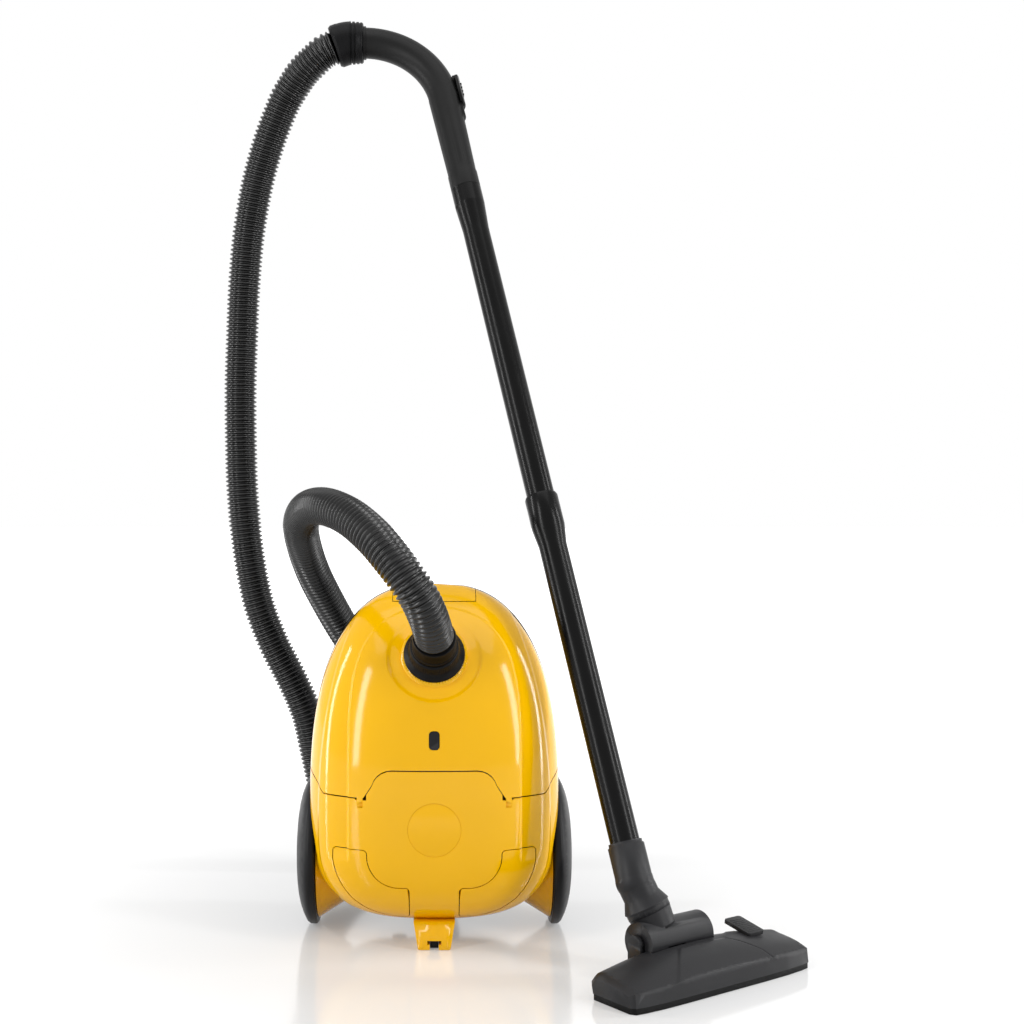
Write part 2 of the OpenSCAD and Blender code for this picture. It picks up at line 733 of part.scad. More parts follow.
function bulge_x(r) = wheel_x + tread_w + wheel_bulge * (1 - pow(r / wheel_r, 4));

module wheel() color(graphite) {
  rim = wheel_r - 3;
  translate([0, axle_y, axle_z]) rotate([0, 90, 0]) rotate_extrude($fn = 128) polygon([
    for (k = [0 : 10]) let (r = rim * k / 10) [r, bulge_x(r)],
    [wheel_r - 0.8, bulge_x(wheel_r) - 0.8], [wheel_r, bulge_x(wheel_r) - 3],
    [wheel_r, wheel_x + 2], [wheel_r - 2, wheel_x], [wheel_r - 8, wheel_x],
    for (k = [9 : -1 : 2]) let (r = (wheel_r - 8) * k / 9) [r, bulge_x(r) - 3.5],
    [11, bulge_x(11) - 3.5], [11, wheel_x], [axle_r + run, wheel_x],
    [axle_r + run, wheel_x + 19], [0, wheel_x + 19]
  ]);
}

module left_wheel() mirror([1, 0, 0]) wheel();

module right_wheel() wheel();

module wheel_axles() color(steel) {
  pair() translate([pod_x + 3 + fit, axle_y, axle_z]) rotate([0, 90, 0])
    cylinder(r = axle_r, h = wheel_x + 18 - pod_x - 3);
}

// ---------- caster on the underside, near the nose ----------
caster_axle_y = axle_y + wheel_r - caster_r - 0.5;
caster_trail = 7;

module caster_fork() color(graphite) {
  plate_y = body_back - 1 + fit;
  translate([0, plate_y + 1, caster_z]) rotate([90, 0, 0]) cylinder(r = 5, h = 29);
  translate([0, plate_y + 2, caster_z]) rotate([90, 0, 0]) cylinder(r = 13, h = 2);
  difference() {
    for (x = [-9.5, 7]) translate([x, plate_y + 1, caster_z - caster_trail - 4])
      cube([2.5, caster_axle_y + 3.5 - plate_y, 9]);
    translate([-15, caster_axle_y, caster_z - caster_trail]) rotate([0, 90, 0]) cylinder(r = 2 + run, h = 30);
  }
}

module caster_wheel() color(black) {
  translate([-6, caster_axle_y, caster_z - caster_trail]) rotate([0, 90, 0]) ring(caster_r, 2 + run, 0, 12);
}

module caster_axle() color(steel) {
  translate([-9.5, caster_axle_y, caster_z - caster_trail]) rotate([0, 90, 0]) cylinder(r = 2, h = 19);
}

// ---------- hose ----------
// Route points, chosen by hand. The front hose leaves the lower cuff, arches over the nose and
// drops behind the canister. The rear hose turns up there and climbs to the handle's cuff.
hose_front_route = [
  [0, -120, 340], [-3, -140, 353], [-8, -154, 368], [-16, -163, 385], [-28, -165, 403], [-44, -157, 424],
  [-64, -138, 446], [-90, -105, 466], [-119, -60, 477], [-142, -8, 474], [-155, 45, 458], [-156, 92, 432],
  [-148, 132, 397], [-133, 166, 360], [-112, 196, 318], [-84, 224, 272], [-50, 248, 226], [-14, 262, 180],
  [11, 266, 132], [16, 266, 105]
];
hose_rear_route = [
  [16, 266, 105], [8, 266, 67], [-20, 266, 36], [-60, 266, 22], [-100, 264, 36], [-130, 262, 68],
  [-145, 260, 112], [-156, 258, 160], [-167, 256, 207], [-186, 254, 252], [-210, 252, 300], [-230, 251, 354],
  [-243, 250, 422], [-250, 249, 495], [-252, 247, 565], [-252, 244, 635], [-249, 238, 705], [-245, 230, 770],
  [-238, 220, 830], [-226, 208, 888], [-210, 195, 938], [-190, 182, 983], [-177, 174, 1003], [-164, 166, 1019],
  [-150, 160, 1031], [-137, 156, 1041], [-124, 155, 1047]
];

hose_wall = 3;
route_nose = 390;

function catmull(a, b, c, d, t) =
  0.5 * (2 * b + (c - a) * t + (2 * a - 5 * b + 4 * c - d) * t * t + (3 * b - a - 3 * c + d) * t * t * t);
// The route as a smooth line, with one more point halfway between each pair of route points.
function smooth(p, steps) = let (n = len(p)) [
  for (i = [0 : n - 2]) for (k = [0 : steps - 1])
    catmull(p[max(i - 1, 0)], p[i], p[i + 1], p[min(i + 2, n - 1)], k / steps),
  p[n - 1]
];
function tangents(p, first, last) = let (n = len(p))
  [for (i = [0 : n - 1]) i == 0 ? unit(first) : i == n - 1 ? unit(last) : unit(p[i + 1] - p[i - 1])];
function across(u, t) = unit(u - (u * t) * t);

// A hollow hose swept along a line, with flat ends square to the first and last directions.
module sweep(p, d, first, last, sides) {
  t = tangents(p, first, last);
  n = len(p);
  inside = n * sides;
  u = [for (i = 0, v = across([0.3, 0.2, 1], t[0]); i < n; i = i + 1, v = i < n ? across(v, t[i]) : v) v];
  points = [for (r = [d / 2, d / 2 - hose_wall]) for (i = [0 : n - 1]) let (w = cross(t[i], u[i]))
    for (k = [0 : sides - 1]) p[i] + r * (cos(360 * k / sides) * u[i] + sin(360 * k / sides) * w)];
  faces = [
    for (k = [0 : sides - 1]) let (m = (k + 1) % sides) each [
      each quad(k, m, inside + m, inside + k),
      each quad(inside - sides + m, inside - sides + k, 2 * inside - sides + k, 2 * inside - sides + m)
    ],
    for (i = [0 : n - 2]) for (k = [0 : sides - 1]) let (m = (k + 1) % sides) each [
      each quad(i * sides + k, (i + 1) * sides + k, (i + 1) * sides + m, i * sides + m),
      each quad(inside + i * sides + m, inside + (i + 1) * sides + m, inside + (i + 1) * sides + k, inside + i * sides + k)
    ]
  ];
  polyhedron(points, faces, convexity = 8);
}

// The front hose's start rises and falls with the nose, and its far end stays.
module hose_front() color(black) {
  last = len(hose_front_route) - 1;
  route = [for (i = [0 : last]) hose_front_route[i] + [0, 0, (body_h - route_nose) * (1 - i / last)]];
  sweep(smooth(route, 2), hose_d, inlet_axis, [0, 0, -1], 10);
}

module hose_rear() color(black) {
  sweep(hose_rear_route, hose_d, [0, 0, -1], -cuff_dir, 10);
}

// ---------- handle and wand ----------
wand_dir = unit(wand_foot - wand_top);
swivel_dir = [cos(swivel_dip), 0, -sin(swivel_dip)];
bend_angle = acos(swivel_dir * wand_dir);
bend_side = unit(wand_dir - (swivel_dir * wand_dir) * swivel_dir);
bend_end = wand_top - grip_len * wand_dir;
bend_start = bend_end - bend_r * (sin(bend_angle) * swivel_dir + (1 - cos(bend_angle)) * bend_side);
swivel_len = 16;
cuff_barrel = 10;
knee_r = 30;
knee_turn = 20;
cuff_knee = bend_start - swivel_len * swivel_dir;
cuff_dir = -[cos(knee_turn - swivel_dip), 0, sin(knee_turn - swivel_dip)];

// Places children in the bend's plane: X along the swivel, Y towards the wand's side.
module in_bend_plane() {
  z = cross(swivel_dir, bend_side);
  multmatrix([
    [swivel_dir[0], bend_side[0], z[0], bend_start[0]],
    [swivel_dir[1], bend_side[1], z[1], bend_start[1]],
    [swivel_dir[2], bend_side[2], z[2], bend_start[2]],
    [0, 0, 0, 1]
  ]) children();
}

// A bent cuff: the hose enters one end, and the handle's spigot turns in the ribbed end.
module hose_cuff_top() color(black) {
  r = hose_d / 2 + 5;
  inner = handle_r - 2 + run;
  translate(cuff_knee) rotate([0, swivel_dip, 0]) {
    rotate([0, 90, 0]) rotate_extrude($fn = 96) polygon([
      [inner, -0.5], [r, -0.5],
      for (k = [0 : 2]) each [
        [r - 0.5 * k, 0.5 + 5 * k], [r - 2, 1 + 5 * k], [r - 2, 2.4 + 5 * k], [r - 0.5 - 0.5 * k, 2.9 + 5 * k]],
      [r - 1.5, 14.5], [r - 3, swivel_len], [inner, swivel_len]
    ]);
    translate([0, 0, -knee_r]) rotate([90, 0, 0]) rotate([0, 0, 90]) rotate_extrude(angle = knee_turn, $fn = 96)
      translate([knee_r, 0]) difference() {
        circle(r = r - 0.4);
        circle(r = inner - 0.5);
      }
    translate([-knee_r * sin(knee_turn), 0, knee_r * (cos(knee_turn) - 1)]) rotate([0, -90 - knee_turn, 0])
      rotate_extrude($fn = 96) polygon([
        [inner - 1, -0.5], [r, -0.5], [r, cuff_barrel - 3], [r - 2, cuff_barrel], [inner - 1, cuff_barrel]
      ]);
  }
}

// Hollow pieces overlap a little, with slightly different radii, so that they join cleanly.
module handle() color(black) {
  r = handle_r - 0.5;
  socket_r = tube_d / 2 + fit / 2;
  in_bend_plane() {
    translate([1 - swivel_len, 0, 0]) rotate([0, 90, 0]) ring(handle_r - 2, r - 4.5, 0, swivel_len);
    translate([fit, 0, 0]) rotate([0, 90, 0]) ring(handle_r + 1, r - 4.5, 0, 3);
    translate([0, bend_r, 0]) rotate([0, 0, fit - 90]) rotate_extrude(angle = bend_angle - fit, $fn = 96)
      translate([bend_r, 0]) difference() {
        circle(r = r);
        circle(r = r - 4);
      }
  }
  along(bend_end, wand_dir) rotate_extrude($fn = 96) polygon([
    [r - 4.5, -1.5], [r + 0.4, -1.5], [r + 0.4, 0.5], [tube_d / 2 + 1.6, grip_len - 22],
    [tube_d / 2 + 2.2, grip_len - 20], [tube_d / 2 + 2.2, grip_len], [socket_r, grip_len],
    [socket_r, grip_len - 30], [tube_d / 2 - 2.5, grip_len - 32]
  ]);
  // plinth that the air slider runs on
  on_grip(slider_at - 2) intersection() {
    rotate([0, 90, 0]) cylinder(r = handle_r + 2, h = slider_len + slider_travel + 4);
    translate([0, -8, handle_r - 4]) cube([slider_len + slider_travel + 4, 16, 8]);
  }
}

// The slider lies on the outer side of the bend, along the straight part of the grip.
slider_up = unit(cross(wand_dir, cross(wand_dir, swivel_dir))) * -1;
slider_at = -24;

module on_grip(s) {
  z = cross(wand_dir, slider_up);
  p = bend_end + s * wand_dir;
  multmatrix([
    [wand_dir[0], z[0], slider_up[0], p[0]],
    [wand_dir[1], z[1], slider_up[1], p[1]],
    [wand_dir[2], z[2], slider_up[2], p[2]],
    [0, 0, 0, 1]
  ]) children();
}

module air_slider() color([0.1, 0.1, 0.1]) {
  on_grip(slider_at) {
    intersection() {
      rotate([0, 90, 0]) ring(handle_r + 5, handle_r + 2 + fit, 0, slider_len);
      translate([0, -12, 0]) cube([slider_len, 24, handle_r + 8]);
    }
    for (x = [8 : 5 : slider_len - 12]) translate([x, -5, handle_r + 4]) cube([2, 10, 1.8]);
  }
}

module wand_upper() color(black) {
  along(wand_top, wand_dir) {
    // inner end, which goes up into the handle
    ring(tube_d / 2, tube_d / 2 - tube_wall, -28, upper_len + 30);
    difference() {
      union() {
        translate([0, 0, fit]) cylinder(r = tube_d / 2 + 2.2, h = 22);
        translate([0, 0, 22]) cylinder(r1 = tube_d / 2 + 2.2, r2 = tube_d / 2, h = 34);
      }
      translate([0, 0, -1]) cylinder(r = tube_d / 2 - 0.5, h = 60);
    }
  }
}

module wand_lower() color(black) {
  len_all = norm(wand_foot - wand_top);
  along(wand_top + upper_len * wand_dir, wand_dir) {
    difference() {
      union() {
        cylinder(r1 = tube_d / 2 + 1.6, r2 = tube_d / 2 + 3, h = 3);
        translate([0, 0, 3]) cylinder(r = tube_d / 2 + 3, h = 34);
        translate([0, 0, 37]) cylinder(r1 = tube_d / 2 + 3, r2 = tube_d / 2, h = 22);
      }
      translate([0, 0, -1]) cylinder(r = tube_d / 2 + fit / 2, h = 36);
      translate([0, 0, 30]) cylinder(r = tube_d / 2 - 0.5, h = 40);
    }
    ring(tube_d / 2, tube_d / 2 - tube_wall, 36, len_all - upper_len + 24);
  }
}

// ---------- floor head ----------
head_at = [267, -184, 0];
barrel_y = 30;
barrel_z = 40;
barrel_x = [-56, 30];
neck_x = -24;
pedal_x = [70, 86];
pedal_at = [13, 24];
brush_y = [-32, 10.5];
sole_t = 5.7;
frame_z = sole_t + fit + brush_travel;
roller_x = [-72, 72];
roller_r = 5.6;
roller_at = [25.2, 7.3];

module in_head() {
  translate(head_at) rotate([0, 0, head_yaw]) children();
}

function to_head(p) = [
  (p[0] - head_at[0]) * cos(head_yaw) + (p[1] - head_at[1]) * sin(head_yaw),
  -(p[0] - head_at[0]) * sin(head_yaw) + (p[1] - head_at[1]) * cos(head_yaw),
  p[2]
];
function dir_to_head(v) = to_head(v + head_at);
neck_top = to_head(wand_foot);
neck_dir = dir_to_head(wand_dir);
knee = neck_top + 40 * neck_dir;
neck_foot = [neck_x, barrel_y, barrel_z];
foot_dir = unit(neck_foot - knee);
foot_len = norm(neck_foot - knee);

module neck_elbow() color(black) in_head() {
  r = socket_d / 2;
  bore = tube_d / 2 - 2;
  flare = foot_len - barrel_r - 14;
  difference() {
    union() {
      along(neck_top, neck_dir) rotate_extrude($fn = 96)
        polygon([[0, 0], [r - 1.5, 0], [r - 1.5, 3], [r, 4], [r, 40], [0, 40]]);
      translate(knee) sphere(r = r + 0.6);
      along(knee, foot_dir) rotate_extrude($fn = 96)
        polygon([[0, 0], [r, 0], [r, flare - 12], [r + 5, flare - 1], [r + 5, flare], [0, flare]]);
    }
    along(neck_top - 2 * neck_dir, neck_dir) cylinder(r = tube_d / 2 + fit / 2, h = 28);
    along(neck_top, neck_dir) cylinder(r = bore, h = 40);
    translate(knee) sphere(r = bore + 0.6);
    along(knee, foot_dir) cylinder(r = bore, h = foot_len);
  }
}

module tilt_barrel() color(black) in_head() {
  difference() {
    union() {
      translate([barrel_x[0], barrel_y, barrel_z]) rotate([0, 90, 0]) cylinder(r = barrel_r, h = barrel_x[1] - barrel_x[0]);
      along(knee + (foot_len - barrel_r - 14 + fit) * foot_dir, foot_dir) cylinder(r = socket_d / 2 + 4, h = 6);
      along(knee + (foot_len - barrel_r - 9) * foot_dir, foot_dir) cylinder(r = socket_d / 2 + 1, h = 20);
    }
    along(knee + (foot_len - barrel_r - 20) * foot_dir, foot_dir) cylinder(r = tube_d / 2 - 3, h = 40);
    translate([neck_x, barrel_y, barrel_z]) rotate([0, 90, 0]) translate([0, 0, -12]) cylinder(r = tube_d / 2 - 1, h = 30);
    // pivot bores
    translate([barrel_x[0] - 1, barrel_y, barrel_z]) rotate([0, 90, 0]) cylinder(r = 5 + run, h = 13);
    translate([barrel_x[1] - 12, barrel_y, barrel_z]) rotate([0, 90, 0]) cylinder(r = 5 + run, h = 13);
    // mouth towards the suction chamber
    translate([neck_x - 10, barrel_y - barrel_r - 5, barrel_z - barrel_r - 2]) cube([24, barrel_r, barrel_r]);
  }
}

// The cover's section at a share u of its half length: points from front to back.
function cover_section(u, i) =
  let (e = 1 - pow(abs(u), 5))
  let (h = crown_h * (1 - 0.32 * u * u), s = strip_h - 2 * u * u)
  [[-head_depth / 2 + i + 5 * pow(abs(u), 6), 6], [-head_depth / 2 + i + 2 + 5 * pow(abs(u), 6), s - i],
   [-head_depth / 2 + 20, s + 0.62 * (h - s) - i], [2, h - i], [18, h - i],
   [head_depth / 2 - 14 * u * u - i, h - 10 - i], [head_depth / 2 + 2 - 18 * u * u - i, 6]];

function crown_at(x) = crown_h * (1 - 0.32 * pow(2 * x / head_len, 2));

module head_form(i, low) {
  stations = [-1, -0.97, -0.88, -0.7, -0.45, -0.2, 0, 0.2, 0.45, 0.7, 0.88, 0.97, 1];
  n = 7;
  function lift(p) = [p[0], p[1] <= 6 ? low : p[1]];
  function squeeze(p, u) = abs(u) > 0.99 ? [p[0] * 0.86, 6 + (p[1] - 6) * 0.8] : p;
  points = [for (u = stations) for (p = cover_section(u, i)) let (q = squeeze(lift(p), u))
    [u * (head_len / 2 - i), q[0], q[1]]];
  m = len(stations);
  faces = [
    [for (k = [n - 1 : -1 : 0]) k],
    [for (k = [0 : n - 1]) (m - 1) * n + k],
    for (j = [0 : m - 2]) for (k = [0 : n - 1]) let (b = (k + 1) % n)
      each quad(j * n + k, j * n + b, (j + 1) * n + b, (j + 1) * n + k)
  ];
  polyhedron(points, faces, convexity = 6);
}

module barrel_seat(r, grow) {
  translate([barrel_x[0] - grow, barrel_y, barrel_z]) rotate([0, 90, 0])
    cylinder(r = r, h = barrel_x[1] - barrel_x[0] + 2 * grow);
}

module head_cover() color(graphite) in_head() {
  difference() {
    union() {
      difference() {
        head_form(0, 6);
        head_form(2.6, 0);
      }
      // ears that hold the barrel
      for (x = [barrel_x[0] - 6.4, barrel_x[1] + 0.4]) translate([x, barrel_y, 0]) {
        translate([0, -9, 12]) cube([6, 18, barrel_z - 12]);
        translate([0, 0, barrel_z]) rotate([0, 90, 0]) cylinder(r = 9, h = 6);
      }
      for (x = [barrel_x[0] - 6.4, barrel_x[1] - 9]) translate([x, barrel_y, barrel_z]) rotate([0, 90, 0])
        cylinder(r = 5, h = 15.4);
      // pillars for the pedal's pivot, which run up into the crown
      for (x = [pedal_x[0] - 3, pedal_x[1]]) translate([x, pedal_at[0] - 5, 14])
        cube([3, 10, crown_at(x + 3) - 14.8]);
    }
    difference() {
      barrel_seat(barrel_r + 1.2, 0.4);
      barrel_seat(5, 8);
    }
    translate([barrel_x[0] - 0.4, barrel_y, barrel_z - barrel_r - 1.2]) cube([barrel_x[1] - barrel_x[0] + 0.8, 40, 80]);
    // opening for the pedal
    translate([pedal_x[0], pedal_at[0] - 9, 18]) cube([pedal_x[1] - pedal_x[0], 16, 40]);
    translate([pedal_x[0] - 5, pedal_at[0], pedal_at[1]]) rotate([0, 90, 0])
      cylinder(r = 2 + run, h = pedal_x[1] - pedal_x[0] + 10);
  }
}

module head_sole() color(black) in_head() {
  difference() {
    union() {
      linear_extrude(sole_t) sole_shape(0);
      for (x = [-80, -30, 45, 80]) translate([x, -20, 5]) cylinder(r = 3, h = 8);
    }
    // suction mouth, brush slots and lint strip grooves
    translate([-95, -16, -1]) cube([190, 16, 8]);
    for (y = brush_y) translate([-104, y, -1]) cube([208, 8, 8]);
    for (y = [-21.5, 3.5]) translate([-90, y, -1]) cube([180, 4, 2.2]);
    for (x = roller_x) translate([x - 11, roller_at[0] - roller_r - fit, -1]) cube([22, 2 * (roller_r + fit), 8]);
  }
}

module sole_shape(i) {
  polygon([for (u = [-1, -0.97, -0.88, -0.7, -0.45, 0, 0.45, 0.7, 0.88, 0.97, 1])
      let (p = cover_section(u, i + 0.6)[0]) [u * (head_len / 2 - i - 0.6), abs(u) > 0.99 ? p[0] * 0.86 : p[0]],
    for (u = [1, 0.97, 0.88, 0.7, 0.45, 0, -0.45, -0.7, -0.88, -0.97, -1])
      let (p = cover_section(u, i + 0.6)[6]) [u * (head_len / 2 - i - 0.6), abs(u) > 0.99 ? p[0] * 0.86 : p[0]]]);
}

module brush_frame() color(graphite) in_head() {
  for (y = brush_y) translate([-103, y + 0.5, frame_z]) cube([206, 7, 3]);
  for (x = [-103, 90]) translate([x, brush_y[0] + 0.5, frame_z]) cube([13, brush_y[1] - brush_y[0] + 7, 3]);
}

module brush_strips() color(black) in_head() {
  for (y = brush_y) translate([-101, y + 2.5, 0.6]) cube([202, 3, frame_z - 0.6]);
}

module lint_strips() color([0.55, 0.08, 0.08]) in_head() {
  for (y = [-21.2, 3.8]) translate([-89.5, y, 0.3]) cube([179, 3.4, 0.9]);
}

module head_pedal() color(graphite) in_head() {
  w = pedal_x[1] - pedal_x[0] - 2 * fit;
  translate([pedal_x[0] + fit, pedal_at[0], pedal_at[1]]) difference() {
    union() {
      rotate([0, 90, 0]) cylinder(r = 5, h = w);
      rotate([12, 0, 0]) {
        translate([0.4, -3.5, 3]) cube([w - 0.8, 7, 10]);
        translate([-3, -14, 12]) rounded_plate(w + 8, 36, 4);
      }
    }
    translate([-5, 0, 0]) rotate([0, 90, 0]) cylinder(r = 2 + run, h = w + 10);
  }
}

module rounded_plate(w, d, h) {
  linear_extrude(h) rounded(3) square([w, d]);
}

module head_rollers() color(graphite) in_head() {
  for (x = roller_x) translate([x - 9, roller_at[0], roller_at[1]]) rotate([0, 90, 0]) ring(roller_r, 1.5 + run, 0, 18);
}

module roller_axles() color(steel) in_head() {
  for (x = roller_x) translate([x - 12, roller_at[0], roller_at[1]]) rotate([0, 90, 0]) cylinder(r = 1.5, h = 24);
  translate([pedal_x[0] - 3, pedal_at[0], pedal_at[1]]) rotate([0, 90, 0]) cylinder(r = 2, h = pedal_x[1] - pedal_x[0] + 6);
}

// ---------- parts ----------
base_shell();
rear_housing();
lid();
lid_seal();
lid_hinge_pins();
latch_tab();
latch_spring();
inlet_connector();
hose_cuff_lower();
indicator_window();
indicator_flag();
indicator_spring();
bag_plate();
bag_holder();
dust_bag();
bulkhead();
filter_frame();
motor_filter();
motor_housing();
motor_rotor();
motor_seal();
motor_mount();
motor_cover();
cover_screws();
cord_reel();
reel_spindle();
power_switch();
power_pedal();
rewind_pedal();
power_pedal_spring();
rewind_pedal_spring();
blank_cap();
exhaust_grille();
exhaust_filter();
cord_outlet();
left_wheel_pod();
right_wheel_pod();
left_wheel();
right_wheel();
wheel_axles();
caster_fork();
caster_wheel();
caster_axle();
hose_front();
hose_rear();
hose_cuff_top();
handle();
air_slider();
wand_upper();
wand_lower();
neck_elbow();
tilt_barrel();
head_cover();
head_sole();
brush_frame();
brush_strips();
head_pedal();
head_rollers();
roller_axles();
lint_strips();
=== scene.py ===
import json
import math

import bmesh
import bpy
import numpy as np
from mathutils import Matrix, Vector, noise


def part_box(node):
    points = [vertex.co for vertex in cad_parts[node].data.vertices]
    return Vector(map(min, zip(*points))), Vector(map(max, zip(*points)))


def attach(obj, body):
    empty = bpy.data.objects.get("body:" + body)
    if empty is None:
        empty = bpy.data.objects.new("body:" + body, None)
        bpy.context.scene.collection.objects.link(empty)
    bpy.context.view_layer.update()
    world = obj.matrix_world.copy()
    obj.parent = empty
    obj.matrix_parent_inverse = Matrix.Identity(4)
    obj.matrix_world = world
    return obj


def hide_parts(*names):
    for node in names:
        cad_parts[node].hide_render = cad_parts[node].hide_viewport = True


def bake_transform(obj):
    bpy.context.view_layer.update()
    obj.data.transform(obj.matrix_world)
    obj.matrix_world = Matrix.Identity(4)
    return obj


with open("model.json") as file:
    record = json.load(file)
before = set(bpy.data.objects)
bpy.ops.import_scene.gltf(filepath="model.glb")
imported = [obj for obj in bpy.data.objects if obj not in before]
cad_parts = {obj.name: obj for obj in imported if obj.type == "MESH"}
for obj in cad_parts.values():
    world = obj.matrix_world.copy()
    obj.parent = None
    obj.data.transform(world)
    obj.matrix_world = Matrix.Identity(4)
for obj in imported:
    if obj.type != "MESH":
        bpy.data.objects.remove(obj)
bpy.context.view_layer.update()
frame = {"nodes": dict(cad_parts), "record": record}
scene = bpy.context.scene

# ---------- studio ----------
# A pale glossy floor under a white background, with the camera low in front of the cleaner.
# Two tall soft boxes draw the long highlights, two more light the sides and a wide one hangs above.
camera = bpy.data.cameras.new("Camera")
camera.lens = 50.625
camera.shift_x = 0.0759
viewer = bpy.data.objects.new("Camera", camera)
viewer.location = (0, -1.63, 0.471)
viewer.rotation_euler = (math.pi / 2, 0, 0)
scene.collection.objects.link(viewer)
scene.camera = viewer
scene.view_settings.view_transform = "Standard"

for name, place, aim, width, height, power in (
        ("soft_box_left", (-1.35, -1.25, 0.95), (0, 0, 0.45), 0.24, 1.6, 17),
        ("soft_box_right", (1.50, -1.05, 0.95), (0, 0, 0.45), 0.24, 1.6, 18),
        ("soft_box_top", (0, -0.5, 2.3), (0, 0, 0.2), 2.2, 1.2, 14),
        ("rim_box_left", (-1.60, 0.05, 0.7), (-0.1, 0, 0.4), 0.16, 1.4, 12),
        ("rim_box_right", (1.60, 0.05, 0.7), (0.1, 0, 0.4), 0.16, 1.4, 12)):
    lamp = bpy.data.lights.new(name, "AREA")
    lamp.shape = "RECTANGLE"
    lamp.size = width
    lamp.size_y = height
    lamp.energy = power
    holder = bpy.data.objects.new(name, lamp)
    holder.location = place
    holder.rotation_euler = (Vector(aim) - Vector(place)).to_track_quat("-Z", "Y").to_euler()
    holder.visible_camera = False
    scene.collection.objects.link(holder)


def shown_rays(tree):
    """One for what the camera sees, straight, mirrored or through clear pieces, and nought for light."""
    path = tree.nodes.new("ShaderNodeLightPath")
    shown = path.outputs["Is Camera Ray"]
    for label in ("Is Glossy Ray", "Is Transmission Ray"):
        larger = tree.nodes.new("ShaderNodeMath")
        larger.operation = "MAXIMUM"
        tree.links.new(shown, larger.inputs[0])
        tree.links.new(path.outputs[label], larger.inputs[1])
        shown = larger.outputs[0]
    return shown


world = bpy.data.worlds.new("Studio")
scene.world = world
world.use_nodes = True
sky = world.node_tree
ambient = sky.nodes["Background"]
backdrop = sky.nodes.new("ShaderNodeBackground")
for background, strength in ((ambient, 0.22), (backdrop, 1.0)):
    background.inputs["Color"].default_value = (1, 1, 1, 1)
    background.inputs["Strength"].default_value = strength
sky_mix = sky.nodes.new("ShaderNodeMixShader")
sky.links.new(shown_rays(sky), sky_mix.inputs[0])
sky.links.new(ambient.outputs[0], sky_mix.inputs[1])
sky.links.new(backdrop.outputs[0], sky_mix.inputs[2])
sky.links.new(sky_mix.outputs[0], sky.nodes["World Output"].inputs["Surface"])

floor_paint = bpy.data.materials.new("studio_floor")
floor_paint.use_nodes = True
tree = floor_paint.node_tree
floor_shader = tree.nodes["Principled BSDF"]
floor_shader.inputs["Base Color"].default_value = (0.62, 0.62, 0.62, 1)
floor_shader.inputs["Roughness"].default_value = 0.12
floor_shader.inputs["Specular IOR Level"].default_value = 1.0
# the floor grows paler away from the lamps, so that it meets the backdrop without a line
place = tree.nodes.new("ShaderNodeTexCoord")
reach = tree.nodes.new("ShaderNodeVectorMath")
reach.operation = "LENGTH"
glow = tree.nodes.new("ShaderNodeMapRange")
glow.interpolation_type = "SMOOTHSTEP"
for label, value in (("From Min", 0.1), ("From Max", 1.5), ("To Min", 0.23), ("To Max", 0.9)):
    glow.inputs[label].default_value = value
seen_glow = tree.nodes.new("ShaderNodeMath")
seen_glow.operation = "MULTIPLY"
lift = tree.nodes.new("ShaderNodeEmission")
both = tree.nodes.new("ShaderNodeAddShader")
tree.links.new(place.outputs["Object"], reach.inputs[0])
tree.links.new(reach.outputs["Value"], glow.inputs["Value"])
tree.links.new(shown_rays(tree), seen_glow.inputs[0])
tree.links.new(glow.outputs["Result"], seen_glow.inputs[1])
tree.links.new(seen_glow.outputs[0], lift.inputs["Strength"])
tree.links.new(floor_shader.outputs[0], both.inputs[0])
tree.links.new(lift.outputs[0], both.inputs[1])
tree.links.new(both.outputs[0], tree.nodes["Material Output"].inputs["Surface"])

floor_half, floor_drop = 40, 0.0004
bm = bmesh.new()
bmesh.ops.create_grid(bm, x_segments=1, y_segments=1, size=floor_half)
bmesh.ops.translate(bm, verts=bm.verts, vec=(0, 0, -floor_drop))
floor_mesh = bpy.data.meshes.new("studio_floor")
bm.to_mesh(floor_mesh)
bm.free()
floor_mesh.materials.append(floor_paint)
studio_floor = bpy.data.objects.new("studio_floor", floor_mesh)
scene.collection.objects.link(studio_floor)

# ---------- base shell ----------
# The underside shell, injection-moulded in black polypropylene with a fine, dull grain.
# It follows the same egg-shaped skin as the yellow shells, which screw onto it from the front.
mm = 0.001
bodies = frame["record"]["behaviour"]["bodies"]
body_of = {node: body for body, nodes in bodies.items() for node in nodes}

# Handling: broad, faint unevenness of colour and of gloss, with fine moulding grain.
handling = bpy.data.node_groups.new("handling", "ShaderNodeTree")
for label, kind, value in (
        ("Colour", "NodeSocketColor", (1, 1, 1, 1)), ("Shade", "NodeSocketFloat", 0.92),
        ("Gloss Low", "NodeSocketFloat", 0.2), ("Gloss High", "NodeSocketFloat", 0.3),
        ("Grain Size", "NodeSocketFloat", 900.0), ("Grain Depth", "NodeSocketFloat", 0.00001)):
    handling.interface.new_socket(label, in_out="INPUT", socket_type=kind).default_value = value
for label, kind in (("Colour", "NodeSocketColor"), ("Roughness", "NodeSocketFloat"),
                    ("Normal", "NodeSocketVector")):
    handling.interface.new_socket(label, in_out="OUTPUT", socket_type=kind)
given = handling.nodes.new("NodeGroupInput").outputs
out = handling.nodes.new("NodeGroupOutput").inputs
spot = handling.nodes.new("ShaderNodeTexCoord").outputs["Object"]


def feed(source, socket):
    """Sets a socket of the effect to a number, or links another socket to it."""
    if isinstance(source, float):
        socket.default_value = source
    else:
        handling.links.new(source, socket)


